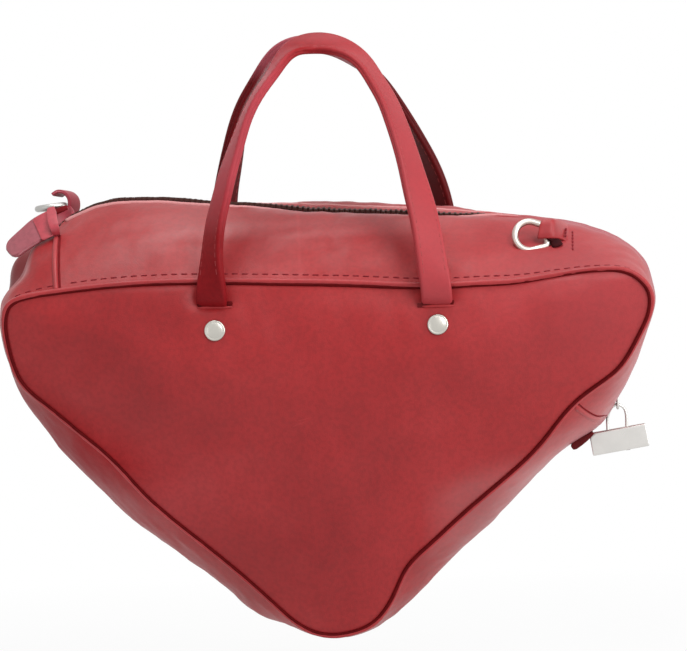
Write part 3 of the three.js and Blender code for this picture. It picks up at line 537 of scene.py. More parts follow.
ZIP_EDGE = 4.6  # from the middle to each folded edge
MOUTH_MIDDLE = -12.0
BAND_START = -2.0  # along the outline, where the bands meet the left end piece
# Rows of points and solids of the left and the right part of a band.
BANDS = {"left": (110, ("end_band", "zip_band")), "right": (200, ("corner_band",))}


def mouth_parts(y, start, end):
    """The left and the right part of what leans outwards with each side of the mouth.

    Each is its side's word and sign, its hand, its blend at that y, and its first and last place.
    """
    wheres = np.linspace(0, at_station(12), 2400)
    middle = float(wheres[np.argmin(np.abs(ridge_at(wheres)[:, 0] - MOUTH_MIDDLE))])
    for word, side in SIDES:
        for hand, first, last, still, leaning in (
            ("left", start, middle, -0.142, -0.040), ("right", middle, end, 0.132, 0.020),
        ):
            places = [(x, side * y * MM, -0.09) for x in (still, leaning)]
            yield word, side, hand, ("bag_body", f"mouth_{word}", *places), first, last


def band_grid(side, wheres):
    """A band's outer face with its seam turn and the rolled edge beside the zip."""
    seam_edge = 1 - seam_margin(wheres, by_station(WELT, wheres) * SEAM_TURN)
    depth = half_depth(seam_at(wheres)[:, 1])
    zip_edge = ZIP_EDGE / depth
    t = np.linspace(0, 1, 34) ** 0.85
    across = side * (seam_edge[:, None] + (zip_edge - seam_edge)[:, None] * t)
    grid = body_surface(wheres[:, None], across)
    normals = grid_normals(grid, (0, 0, 1))
    from_zip = (np.abs(across) - zip_edge[:, None]) * depth[:, None]
    x = grid[..., 0]
    rolled = 0.9 * bump(from_zip, 1.6, 2.6) - 0.5 * bump(from_zip, 4.6, 1.6)
    rolled = rolled * np.interp(x, [90, 120], [1.0, 0.35])
    if side < 0:
        # the front band lies lower, so that the zip shows above it
        drop = np.interp(x, [-150, -130, -60, 0, 60, 95], [0, 1.0, 1.2, 2.2, 2.2, 0])
        rolled = rolled - drop * bump(from_zip, 0, 6)
    return grid + normals * rolled[..., None], normals


def make_bands():
    for word, side, hand, blend, first, last in mouth_parts(45, BAND_START, at_station(CROSS_SEAM)):
        rows, solids = BANDS[hand]
        made = shell(*band_grid(side, np.linspace(first, last, rows)), LEATHER)
        nodes = [f"{word}_{solid}" for solid in solids]
        piece = add(f"{word}_band_{hand}", made, "leather", blend, "red_leather", *nodes)
        # keeps the rim out of the shading, so that no line shows where two halves meet
        piece.data.set_sharp_from_angle(angle=math.radians(42))


def make_gusset():
    grid = between_seams(np.linspace(at_station(CROSS_SEAM) + 0.1, at_station(LEFT_CORNER), 420), 56)
    normals = grid_normals(grid, (0, 0, -1))
    on_body("gusset_leather", shell(grid, normals, LEATHER), "leather", "lower_gusset")
    grid, normals = grid[3:-3, 4:-4], normals[3:-3, 4:-4]
    lining = shell(grid - normals * CLOTH_DEPTH, normals, CLOTH)
    add("gusset_lining_cloth", lining, "lining", "bag_body", "lining_cloth", "gusset_lining")
    grid = between_seams(np.linspace(at_station(LEFT_CORNER) + 0.3, PERIOD + BAND_START, 90), 64)
    made = shell(grid, grid_normals(grid, (-1, 0, 0)), LEATHER)
    on_body("left_end_leather", made, "left_end", "left_end_gusset")


# materials


class Nodes:
    """Short forms for building a material or the world."""

    def __init__(self, owner):
        owner.use_nodes = True
        self.owner = owner
        self.tree = owner.node_tree

    def add(self, kind, **values):
        node = self.tree.nodes.new(kind)
        for key, value in values.items():
            if key in node.inputs:
                node.inputs[key].default_value = value
            else:
                setattr(node, key, value)
        return node

    def link(self, value, socket):
        """Links a socket, or sets it to a plain value."""
        if isinstance(value, (int, float, tuple)):
            socket.default_value = value
        else:
            self.tree.links.new(value, socket)

    def shade(self, values):
        for key, value in values.items():
            self.link(value, self.tree.nodes["Principled BSDF"].inputs[key])

    def place(self):
        return self.add("ShaderNodeTexCoord").outputs["Object"]

    def noise(self, scale, detail=3.0, roughness=0.5):
        node = self.add("ShaderNodeTexNoise", Scale=scale, Detail=detail, Roughness=roughness)
        self.link(self.place(), node.inputs["Vector"])
        return node.outputs["Fac"]

    def ramp(self, factor, stops):
        node = self.add("ShaderNodeValToRGB")
        points = node.color_ramp.elements
        points[0].position, points[0].color = stops[0]
        points[1].position, points[1].color = stops[-1]
        for position, colour in stops[1:-1]:
            points.new(position).color = colour
        self.link(factor, node.inputs["Fac"])
        return node.outputs["Color"]

    def mix(self, factor, first, second, blend="MIX"):
        node = self.add("ShaderNodeMix", data_type="RGBA", blend_type=blend)
        for number, value in ((0, factor), (6, first), (7, second)):
            self.link(value, node.inputs[number])
        return node.outputs[2]

    def math(self, operation, first, second):
        node = self.add("ShaderNodeMath", operation=operation)
        self.link(first, node.inputs[0])
        self.link(second, node.inputs[1])
        return node.outputs[0]

    def remap(self, value, low, high, new_low, new_high):
        node = self.add("ShaderNodeMapRange")
        for number, part in enumerate((value, low, high, new_low, new_high)):
            self.link(part, node.inputs[number])
        return node.outputs["Result"]

    def region(self, axes, share, ranges):
        """share where all ranges are full; each range is (axis, start, full) in millimetres."""
        for axis, start, full in ranges:
            part = self.remap(axes.outputs[axis], start * MM, full * MM, 0.0, 1.0)
            share = self.math("MULTIPLY", share, part)
        return share

    def bump(self, heights):
        """heights is a list of (socket, strength, distance)."""
        normal = None
        for socket, strength, distance in heights:
            node = self.add("ShaderNodeBump", Strength=strength, Distance=distance)
            self.link(socket, node.inputs["Height"])
            if normal is not None:
                self.link(normal, node.inputs["Normal"])
            normal = node.outputs["Normal"]
        self.shade({"Normal": normal})

    def seen_rays(self):
        """1 for the rays that show the surroundings themselves, 0 for the rays that light the object."""
        rays = self.add("ShaderNodeLightPath").outputs
        seen_or_mirrored = self.math("MAXIMUM", rays["Is Camera Ray"], rays["Is Glossy Ray"])
        return self.math("MAXIMUM", seen_or_mirrored, rays["Is Transmission Ray"])


def srgb(colour):
    shares = [c / 255 for c in colour]
    return tuple(c / 12.92 if c <= 0.04045 else ((c + 0.055) / 1.055) ** 2.4 for c in shares) + (1.0,)


def grey(level):
    return (level, level, level, 1.0)


def leather_material(name, colours, roughness, painted_lights=(), gloss=0.38, shine=(), sheen=0.06):
    """colours are light, main and dark, painted_lights (colour, share, ranges) paint light and shade into the
    colour by position, and shine (gloss, share, ranges).
    """
    m = Nodes(bpy.data.materials.new(name))
    light, main, dark = (srgb(colour) for colour in colours)
    colour = m.ramp(m.noise(14, 3.0, 0.55), [(0.28, dark), (0.52, main), (0.78, light)])
    speck = m.ramp(m.noise(420, 2.0, 0.5), [(0.35, grey(0.86)), (0.6, grey(1.0))])
    colour = m.mix(1.0, colour, speck, "MULTIPLY")
    # worn and paler where the leather bends sharply outwards
    worn = m.remap(m.add("ShaderNodeNewGeometry").outputs["Pointiness"], 0.51, 0.56, 0.0, 0.35)
    colour = m.mix(worn, colour, light)
    axes = m.add("ShaderNodeSeparateXYZ")
    m.link(m.place(), axes.inputs[0])
    # painted light and shade: colours mixed in by position where the lamps light the leather more or less
    for painted_colour, share, ranges in painted_lights:
        colour = m.mix(m.region(axes, share, ranges), colour, srgb(painted_colour))
    level = grey(gloss) if shine else gloss
    for other, share, ranges in shine:
        level = m.mix(m.region(axes, share, ranges), level, grey(other))
    m.shade({
        "Base Color": colour,
        "Roughness": m.remap(m.noise(60, 4.0, 0.6), 0.3, 0.7, roughness - 0.06, roughness + 0.07),
        "Specular IOR Level": level,
        "Sheen Weight": sheen,
        "Sheen Roughness": 0.4,
        "Sheen Tint": (1.0, 0.75, 0.75, 1.0),
    })
    cells = m.add("ShaderNodeTexVoronoi", Scale=900.0, feature="DISTANCE_TO_EDGE")
    m.link(m.place(), cells.inputs["Vector"])
    pores = m.remap(cells.outputs["Distance"], 0.0, 0.25, 0.0, 1.0)
    m.bump([
        (pores, 0.10, 0.0002),
        (m.noise(180, 3.0, 0.6), 0.12, 0.0006),
        (m.noise(38, 2.0, 0.5), 0.10, 0.0025),
    ])
    return m.owner


def metal_material(name, colour, roughness, scratch):
    m = Nodes(bpy.data.materials.new(name))
    darker = tuple(c * 0.94 for c in colour) + (1.0,)
    m.shade({
        "Metallic": 1.0,
        "Base Color": m.ramp(m.noise(120, 3.0), [(0.3, darker), (0.7, colour + (1.0,))]),
        "Roughness": m.remap(m.noise(160, 3.0, 0.5), 0.3, 0.7, roughness - 0.03, roughness + 0.05),
    })
    m.bump([(m.noise(900, 2.0), scratch, 0.0001)])
    return m.owner


def plain_material(name, first, second, scale, roughness):
    m = Nodes(bpy.data.materials.new(name))
    grain = m.noise(scale, 3.0, 0.6)
    m.shade({
        "Base Color": m.ramp(grain, [(0.35, srgb(first)), (0.65, srgb(second))]),
        "Roughness": roughness,
        "Specular IOR Level": 0.12,
    })
    m.bump([(grain, 0.3, 0.0003)])
    return m.owner


RED = (175, 47, 50), (162, 33, 36), (147, 25, 29)
# Painted light and shade: paler and greyer at the rim of the right corner as a painted reflection, paler down
# the right slope and high on the right as painted light, darker down the left slope as painted shade.
BODY_PAINTED_LIGHT = (
    ((156, 104, 112), 0.7, (("X", 106, 130), ("Y", -19, -6), ("Y", 14, 6))),
    ((214, 150, 152), 0.42, (("X", 70, 150), ("Z", -120, -160), ("Y", -46, -20), ("Y", 56, 44))),
    ((140, 16, 28), 0.7, (("X", -40, -130), ("Z", -130, -165), ("Y", -48, -30), ("Y", 56, 44))),
    ((192, 80, 86), 0.3, (("X", 40, 150), ("Z", -190, -130))),
)
# Duller low on the bands, shinier above, duller down the left slope and shinier on the right slope.
BODY_SHINE = (
    (0.25, 1.0, (("X", -70, -10), ("X", 138, 108), ("Z", -94, -104), ("Z", -130, -122))),
    (0.85, 1.0, (("X", -105, -70), ("X", 95, 60), ("Z", -98, -90))),
    (
        0.08, 1.0,
        (("X", -60, -110), ("Z", -130, -160), ("Z", -238, -215), ("Y", -56, -46), ("Y", 56, 46)),
    ),
    (
        1.0, 1.0,
        (("X", 50, 70), ("Z", -285, -265), ("Z", -212, -230), ("Y", -52, -46), ("Y", 52, 46)),
    ),
)
# Painted shade in the recess behind the left shoulder.
HOLLOW_SHADE = ((122, 28, 32), 1.0, (("Y", -24, -8), ("Y", 60, 38)))
# Painted light and shade: paler on the right half, darker low on the left leg, paler high on it and along the
# apex.
HANDLE_PAINTED_LIGHT = (
    ((206, 92, 98), 0.42, (("X", -5, 45),)),
    ((96, 14, 18), 0.34, (("X", -15, -48), ("Z", -45, -90))),
    ((206, 92, 104), 0.4, (("X", -10, -24), ("Z", -95, -62))),
    ((206, 112, 118), 0.2, (("Z", 5, 9), ("X", -50, -30), ("X", 30, 12))),
)
HANDLE_SHINE = ((0.08, 1.0, (("X", -4, -22),)),)
# Painted shade darker on the right leg and painted light paler along the apex.
BACK_HANDLE_PAINTED_LIGHT = (
    ((66, 10, 12), 0.3, (("X", 28, 52),)),
    ((176, 84, 96), 0.85, (("Z", -14, -3), ("Y", 60, 40))),
)

material = {}
for key, name, *rest in (
    ("leather", "red_leather", RED, 0.46, BODY_PAINTED_LIGHT, 0.38, BODY_SHINE),
    # the left end's leather, with painted shade in its recess
    ("left_end", "left_end_leather", RED, 0.46, (HOLLOW_SHADE,), 0.25),
    ("trim", "red_leather_trim", ((182, 58, 62), (168, 42, 46), (146, 28, 34)), 0.44),
    # pale leather that paints the highlight on the folded edges beside the zip
    ("pale_edge", "pale_folded_edge", ((224, 160, 160), (210, 136, 136), (192, 110, 112)), 0.5),
    ("tongue", "tongue_leather", ((180, 98, 108), (164, 82, 92), (146, 60, 70)), 0.4),
    ("keeper", "keeper_leather", ((196, 80, 92), (182, 62, 72), (158, 44, 54)), 0.42),
    ("loop", "loop_leather", ((176, 66, 82), (158, 48, 62), (134, 34, 46)), 0.42),
    (
        "handle", "handle_leather", ((168, 38, 44), (148, 24, 30), (120, 14, 20)), 0.42,
        HANDLE_PAINTED_LIGHT, 0.16, HANDLE_SHINE, 0.0,
    ),
    # the back handle's leather, a darker copy of the handle's that paints the shade it lies in; the right
    # tongue and the anchors use it too
    (
        "back_handle", "back_handle_leather", ((128, 30, 34), (104, 18, 22), (80, 12, 16)), 0.5,
        BACK_HANDLE_PAINTED_LIGHT, 0.15,
    ),
):
    material[key] = leather_material(name, *rest)
for key, name, *rest in (
    ("nickel", "satin_nickel", (0.72, 0.70, 0.67), 0.30, 0.03),
    ("rivet", "rivet_nickel", (0.56, 0.54, 0.49), 0.30, 0.05),
    ("ring", "ring_nickel", (0.58, 0.51, 0.46), 0.38, 0.04),
    ("teeth", "dark_zip_metal", (0.075, 0.035, 0.03), 0.5, 0.2),
    ("steel", "grey_steel", (0.46, 0.45, 0.43), 0.34, 0.1),
):
    material[key] = metal_material(name, *rest)
for key, name, *rest in (
    ("thread", "red_thread", (112, 24, 34), (140, 40, 48), 1400, 0.6),
    ("strap_thread", "strap_thread", (150, 56, 60), (178, 84, 84), 1400, 0.6),
    ("zip_cloth", "zip_tape_cloth", (58, 18, 20), (78, 28, 28), 900, 0.85),
    ("lining", "lining_cloth", (96, 38, 40), (120, 52, 52), 700, 0.9),
    # painted shade for the dark lines in gaps and creases
    ("crease", "soft_crease", (112, 18, 24), (128, 26, 32), 300, 0.8),
    # painted shade, the darkest, for the hollow under the right ring's tab
    ("deep", "deep_gap", (40, 6, 10), (54, 8, 12), 300, 0.8),
    # painted shade: dark tubes for the seam groove, the strap slots and the keyway
    ("dark", "dark_gap", (84, 4, 8), (98, 8, 12), 300, 0.8),
):
    material[key] = plain_material(name, *rest)


# curves and spots


def smooth(table, count):
    """A curve through the rows of a table, in even steps."""
    table = np.asarray(table, float)
    gaps = np.linalg.norm(np.diff(table[:, :3], axis=0), axis=1) ** 0.5
    knots = np.concatenate([[0], np.cumsum(gaps)])
    slopes = np.gradient(table, knots, axis=0)
    fine = hermite(knots, table, slopes, gaps, np.linspace(0, knots[-1], 1500), lambda i: i + 1)
    length = distances(fine[:, :3])
    return rows_at(np.linspace(0, length[-1], count), length, fine)


def seen_path(table, count, *others):
    """A curve through rows of (u, v, y) that the camera sees, with other values carried along."""
    table = np.asarray(table, float)
    return smooth(np.column_stack([seen(*table.T[:3]), *others]), count)


def panel_spot(side, x, z):
    """Point and outward normal of a panel at that x and z."""
    grid, normals = PANELS[side]
    away = np.hypot(grid[..., 0] - x, grid[..., 2] - z)
    i = np.unravel_index(np.argmin(away), away.shape)
    point, normal = grid[i], normals[i]
    y = point[1] - (normal[0] * (x - point[0]) + normal[2] * (z - point[2])) / normal[1]
    return np.array([x, y, z]), normal


def stitch(point, along, out, length, radius):
    """One stitch, lying half in the leather."""
    ends = np.array([-0.5, -0.4, 0.4, 0.5])[:, None]
    path = point + along * ends * length - out * np.array([0.8, 0.15, 0.15, 0.8])[:, None] * radius
    return tube(path, radius * np.array([0.7, 1, 1, 0.7]), 6)


def stitches(points, outs, pitch, length, radius):
    """Stitches along a line of points."""
    where = distances(points)
    count = max(int(where[-1] / pitch), 1)
    centres = (np.arange(count) + 0.5) * where[-1] / count
    ends = [rows_at(centres + share * length, where, points) for share in (-0.5, 0.5)]
    rows = rows_at(centres, where, points), unit(ends[1] - ends[0]), unit(rows_at(centres, where, outs))
    return [stitch(*row, length, radius) for row in zip(*rows)]


def strap_section(width, thickness, rounding, groove=0.0):
    """A strap's section with soft edges, and a groove where its two layers meet."""
    w, h = width / 2, thickness / 2
    quarter = [math.radians(a) for a in (90, 68, 45, 22, 0)]
    corner = [(w - rounding + rounding * math.cos(a), h - rounding + rounding * math.sin(a)) for a in quarter]
    top = [(x, h + 0.12 * (1 - (x / w) ** 2)) for x in np.linspace(-0.7 * w, 0.7 * w, 5)]
    edge = [(w, groove * 1.2), (w - groove, 0.0), (w, -groove * 1.2)]
    right = top + corner + edge + [(x, -y) for x, y in reversed(corner)]
    return np.array(right + [(-x, -y) for x, y in right])


# handles

STRAP_WIDTH = 16.2
STRAP_THICKNESS = 4.5
ROOT_Z = -137.5  # lower height of the strap's blend, which add() takes but does not apply
FREE_Z = -118.0  # upper height of the strap's blend, which add() takes but does not apply
STRAP_THREAD = 4.4, 3.1, 0.36  # pitch, length and radius of its stitches
STRAP_STITCH = 2.3  # from the strap's edge
SMOOTHINGS = 16

# Middle of each strap as the camera sees it, its depth in front of or behind the middle plane, and how far it
# is turned outwards in degrees.
FRONT_STRAP = [
    (-60.2, -133.9, -58.0, 0), (-60.2, -131.6, -64.5, 0), (-60.2, -129.0, -68.0, 3),
    (-60.3, -126.0, -69.0, 11), (-60.3, -123.2, -69.0, 24), (-60.2, -115.7, -68.2, 42),
    (-59.4, -105.8, -67.0, 53), (-58.1, -94.0, -64.5, 57), (-56.0, -84.4, -61.5, 59),
    (-53.2, -74.8, -58.0, 60), (-49.5, -61.5, -52.5, 63), (-44.6, -47.7, -45.5, 70),
    (-39.9, -34.9, -39.0, 76), (-34.0, -23.3, -33.0, 78), (-28.5, -15.6, -28.0, 78),
    (-22.9, -8.6, -23.0, 76), (-17.8, -0.5, -17.5, 68), (-12.3, 4.2, -12.5, 61), (-5.7, 6.4, -9.5, 56),
    (0.9, 6.7, -8.8, 54), (7.3, 5.8, -10.5, 55), (13.4, 3.7, -14.0, 59), (21.1, -0.9, -19.5, 65),
    (26.7, -7.0, -25.0, 68), (32.2, -16.6, -31.0, 67), (36.7, -24.2, -35.5, 64), (41.6, -37.4, -42.0, 58),
    (45.7, -50.4, -48.5, 54), (49.1, -63.4, -54.0, 48), (52.2, -76.9, -59.0, 35), (54.6, -86.6, -62.0, 30),
    (57.4, -103.9, -66.5, 25), (59.2, -118.5, -68.5, 17), (60.5, -126.4, -69.0, 7),
    (60.7, -129.6, -68.5, 0), (60.7, -132.8, -66.0, 0), (60.7, -135.6, -58.0, 0),
]
BACK_STRAP = [
    (-53.0, -137.0, 58.0, 0), (-53.0, -134.5, 66.0, 0), (-53.2, -130.0, 69.0, 5), (-53.2, -115.0, 69.0, 18),
    (-52.8, -95.0, 66.0, 36), (-51.2, -73.8, 58.5, 48), (-48.6, -60.5, 52.0, 52), (-46.0, -47.6, 45.5, 59),
    (-43.3, -34.8, 39.0, 70), (-39.2, -23.1, 33.0, 79), (-34.7, -15.2, 28.0, 84), (-31.6, -10.2, 24.5, 86),
    (-27.6, -4.4, 21.0, 84), (-22.9, 0.8, 17.5, 80), (-16.9, 4.7, 14.0, 74), (-8.8, 6.4, 11.5, 68),
    (-0.2, 6.0, 10.5, 66), (7.3, 4.4, 12.0, 68), (14.7, 0.5, 16.0, 72), (20.7, -3.6, 19.5, 75),
    (26.6, -8.0, 24.0, 79), (31.9, -12.4, 28.0, 80), (36.4, -17.7, 31.5, 80), (40.3, -24.2, 35.5, 74),
    (46.9, -37.5, 42.5, 62), (53.1, -50.5, 48.5, 52), (58.9, -63.6, 54.5, 45), (63.1, -77.2, 59.5, 40),
    (65.5, -95.0, 65.5, 28), (66.8, -115.0, 69.0, 12), (66.7, -130.0, 69.0, 0), (66.5, -134.5, 66.0, 0),
    (66.5, -137.0, 58.0, 0),
]


def make_handle(word, side, table, finish):
    path = seen_path(table, 190, np.array(table)[:, 3])
    for _ in range(SMOOTHINGS):
        path[1:-1] = path[:-2] * 0.25 + path[1:-1] * 0.5 + path[2:] * 0.25
    turn = np.radians(path[:, 3])[:, None]
    path = path[:, :3]
    along = unit(steps_along(path))
    # at the slot the strap bends over, so its face keeps pointing away from the bag
    forward = square_to(np.array([0.0, side, 0.0]), along)
    outward = square_to(unit(np.cross([0.0, -1.0, 0.0], along)), forward)
    face = np.cos(turn) * forward + np.sin(turn) * outward
    width = unit(np.cross(along, face))
    rows = []
    inside = slice(12, len(path) - 12)
    for across in (-1, 1):
        for way in (-1, 1):
            line = path + width * across * (STRAP_WIDTH / 2 - STRAP_STITCH)
            line = line + face * way * (STRAP_THICKNESS / 2 - 0.14)
            rows += stitches(line[inside], (face * way)[inside], *STRAP_THREAD)
    body = f"handle_{word}"
    y = side * 66 * MM
    blend = "bag_body", body, (0, y, ROOT_Z * MM), (0, y, FREE_Z * MM)
    made = section_tube(path, width, face, strap_section(STRAP_WIDTH, STRAP_THICKNESS, 1.5, 0.32))
    add(f"{body}_strap", made, finish, blend, "handle_leather", body)
    add(f"{body}_stitches", joined(rows), "strap_thread", blend, "handle_leather")


# rivets and slots

RIVET_RADIUS = 5.6
# Shares of the radius, and heights over the panel.
RIVET_PROFILE = (
    (0, 1.55), (0.35, 1.5), (0.62, 1.3), (0.74, 1.1), (0.78, 0.95), (0.84, 1.2),
    (0.92, 1.1), (0.98, 0.7), (1, 0.2), (0.96, -0.5), (0, -0.5),
)
# Each strap end: its hand, the rivet's middle and the slot's middle and length, as the camera sees them.
STRAP_ENDS = {
    "front": (("left", -59.4, -146.6, -58.9, -131.9, 18.2), ("right", 60.6, -146.9, 61.0, -134.7, 16.4)),
    "back": (("left", -53.4, -148.0, -53.0, -136.0, 17.2), ("right", 66.6, -148.0, 66.5, -136.0, 17.2)),
}
SLOT_LIP = 0.95 * np.array([0.45, 0.8, 1, 1, 1, 1, 1, 0.8, 0.45])  # radii along the slot


def make_rivets(word, side):
    profile = [(share * RIVET_RADIUS, height) for share, height in RIVET_PROFILE]
    for hand, u, v, *_ in STRAP_ENDS[word]:
        x, _, z = seen(u, v, side * 72.0)
        made = turned(profile, 40, *panel_spot(side, x, z))
        add(f"rivet_{word}_{hand}", made, "rivet", "bag_body", "nickel", f"rivet_cap_{word}_{hand}")


def make_slots(word, side):
    for hand, _, _, u, v, length in STRAP_ENDS[word]:
        x, _, z = seen(u, v, side * 68.0)
        steps = np.linspace(-length / 2, length / 2, len(SLOT_LIP))
        spots = [panel_spot(side, x + step, z - 2.2) for step in steps]
        line = np.array([point + normal * 0.15 for point, normal in spots])
        on_body(f"slot_lip_{word}_{hand}", tube(line, SLOT_LIP, 10), "leather")
        # a dark tube along the slot that paints the shade inside it
        gap = tube(line + np.array([0, 0, 1.9]), 1.1, 8, False, (np.array([0, 1.0, 0]), 0.6))
        on_body(f"slot_painted_shade_{word}_{hand}", gap, "dark")


# zip

ZIP_START = 45.2  # stations where the zip begins and where its folded edges end
RIMS_END = 13
TAPE = 0.6
TOOTH_PITCH = 2.9
TOOTH = 1.7, 2.9, 1.5  # along the zip, across it, and its height
TOOTH_TAPER = 0.8  # of its upper face
TOOTH_FACES = [(0, 1, 3, 2), (4, 6, 7, 5), (0, 4, 5, 1), (2, 3, 7, 6), (0, 2, 6, 4), (1, 5, 7, 3)]


def zip_rise(x):
    """Height of the teeth above the surface: proud at the left shoulder, sunk between the bands elsewhere."""
    return np.interp(x, [-140, -110, 0, 85, 105], [0.2, 0.9, 0.5, 0.5, -1.8])


def zip_tape(side, wheres):
    """A strip beside the middle line that falls away under the band."""
    depth = half_depth(seam_at(wheres)[:, 1])
    steps = np.linspace(0.15, ZIP_EDGE + 3, 6)
    grid = body_surface(wheres[:, None], side * steps / depth[:, None])
    normals = grid_normals(grid, (0, 0, 1))
    lift = zip_rise(grid[..., 0]) - 0.5 + np.interp(steps, steps[[0, -1]], [0, -2.2])
    return shell(grid + normals * lift[..., None], normals, TAPE)


def zip_teeth(side, wheres):
    corners = (np.array(list(np.ndindex(2, 2, 2))) - 0.5) * TOOTH
    corners[1::2, :2] *= TOOTH_TAPER
    made = []
    count = int(distances(body_surface(wheres, 0.0))[-1] / TOOTH_PITCH)
    for step in range(count):
        where = wheres[0] + (wheres[-1] - wheres[0]) * (step + 0.5 + 0.25 * side) / count
        depth = half_depth(seam_at(where)[1])
        point, *directions = surface_frame(where, side * 1.1 / depth)
        centre = point + directions[2] * zip_rise(point[0])
        made.append((centre + corners @ np.array(directions), TOOTH_FACES))
    return joined(made)


def make_zip():
    start, end = at_station(ZIP_START) - PERIOD, at_station(CROSS_SEAM) - 3
    for word, side, hand, blend, first, last in mouth_parts(4, start, end):
        rows, solids, others = (90, word, ["zip_left_end"]) if hand == "left" else (150, f"corner_{word}", [])
        wheres = np.linspace(first, last, rows)
        tape, teeth = zip_tape(side, wheres), zip_teeth(side, wheres)
        name = f"zip_tape_{word}_{hand}"
        add(name, tape, "zip_cloth", blend, "zip_cloth", f"zip_tape_{solids}", *others)
        name = f"zip_teeth_{word}_{hand}"
        add(name, teeth, "teeth", blend, "zip_brass", f"zip_teeth_{solids}", smooth=False)


def make_zip_rims():
    """The folded edges of the bands beside the zip, as pale tubes that paint the highlight along the fold."""
    for word, side, hand, blend, first, last in mouth_parts(6, BAND_START + 3, at_station(RIMS_END)):
        grid, normals = band_grid(side, np.linspace(first, last, 150))
        radii = np.interp(grid[:, -2, 0], [85, 120], [1.7, 0.4])
        sunk = grid[:, -2] - normals[:, -2] * 0.75 + np.array([0.0, side * 0.9, -0.4])
        add(f"zip_rim_{word}_{hand}", tube(sunk, radii, 10), "pale_edge", blend, "red_leather")


# seam stitches

SEAM_STITCH = 4.6  # from the seam
SEAM_THREAD = 5.2, 3.3, 0.42  # pitch, length and radius of its stitches
STITCHES_END = 13.2  # station


def stitch_seam(name, side, first, last, body):
    wheres = np.linspace(first, last, max(int((last - first) / 2.5), 8))
    points, _, _, outs = surface_frame(wheres, side * (1 - seam_margin(wheres, SEAM_STITCH)))
    made = joined(stitches(points, outwards(points, outs), *SEAM_THREAD))
    add(f"seam_stitches_{name}", made, "thread", body, "red_leather")


def make_seam_stitches():
    for word, side, hand, blend, first, last in mouth_parts(45, 4, at_station(STITCHES_END)):
        stitch_seam(f"{word}_{hand}", side, first, last, blend)
        if hand == "right":
            stitch_seam(f"{word}_end", side, at_station(LEFT_CORNER) + 8, PERIOD - 5, "bag_body")


# pieces on the bands


def front_grid():
    wheres = np.linspace(0, PERIOD, 900, endpoint=False)[:, None]
    grid = body_surface(wheres, np.linspace(-0.98, -0.02, 64))
    return grid, outwards(grid, grid_normals(grid, (0, 0, 1), True)), project(grid)


def front_line(spots, count):
    """Points and outward normals along a line on the bands or gusset, given where the camera sees it."""
    grid, normals, flat = FRONT
    points, outs = [], []
    for u, v in smooth(spots, count):
        near = np.unravel_index(np.argmin(np.hypot(flat[..., 0] - u, flat[..., 1] - v)), flat.shape[:2])
        ray = seen(u, v, 0.0) - EYE
        normal = normals[near]
        points.append(EYE + ray * ((grid[near] - EYE) @ normal) / (ray @ normal))
        outs.append(normal)
    return np.array(points), np.array(outs)


def ribbon(table, widths, thickness, lean, ends=(0.5, 0.5)):
    """A flat strip along points the camera sees as rows of (u, v, y).

    widths are what the camera sees of its width at each row. lean is how far its upper edge lies behind its
    lower edge. ends are the widths of the two rounded ends, as shares.
    """
    path = seen_path(table, 26, widths)
    seen_width, path = path[:, 3:], path[:, :3]
    along = unit(steps_along(path))
    sideways = unit(np.cross([0.0, -1.0, 0.0], along))
    width = sideways * seen_width + np.array([0.0, lean, 0.0]) * np.sign(sideways[:, 2:])
    face = unit(np.cross(along, width))
    face = np.where(face[:, 1:2] > 0, -face, face)
    t = np.linspace(0, 1, len(path))[:, None]
    first, last = (
        np.sqrt(1 - (1 - end**2) * np.clip(1 - apart / 0.16, 0, 1) ** 2)
        for end, apart in zip(ends, (t, 1 - t))
    )
    return section_tube(path, width * np.minimum(first, last), face, strap_section(1.0, thickness, 0.06))


RINGS = {
    # hand: middle of the bar, direction of the bar, direction of the reach, length of the reach
    "right": ((121.0, -37.2, -100.2), (0.02, 0.30, 0.95), (-0.985, -0.16, 0.05), 17.3),
    "left": ((-139.9, 19.75, -77.2), (0.028, 0.99, -0.03), (-0.97, 0.03, -0.10), 14.6),
}
RING_WIRE = 1.75
RING_HALF = 7.9
BAR_HALF = 5.6
TAB_THREAD = 3.4, 2.7, 0.5  # pitch, length and radius of the stitches beside the right ring


def make_ring(hand, finish):
    centre, bar, reach, length = RINGS[hand]
    bar, reach = unit(np.array(bar)), unit(np.array(reach))
    path = [(0, y) for y in np.linspace(-BAR_HALF + 1.2, BAR_HALF - 1.2, 7)]
    path += [(0.4, BAR_HALF - 0.4), (1.3, BAR_HALF + 0.2)]
    for angle in np.radians(np.linspace(104, -104, 29)):
        path.append((length - RING_HALF + RING_HALF * math.cos(angle), RING_HALF * math.sin(angle)))
    path += [(1.3, -BAR_HALF - 0.2), (0.4, -BAR_HALF + 0.4)]
    path = np.array([centre + reach * x + bar * y for x, y in path])
    wire = tube(path, RING_WIRE, 14, True)
    add(f"ring_{hand}_wire", wire, finish, f"ring_{hand}", "nickel", f"d_ring_{hand}")


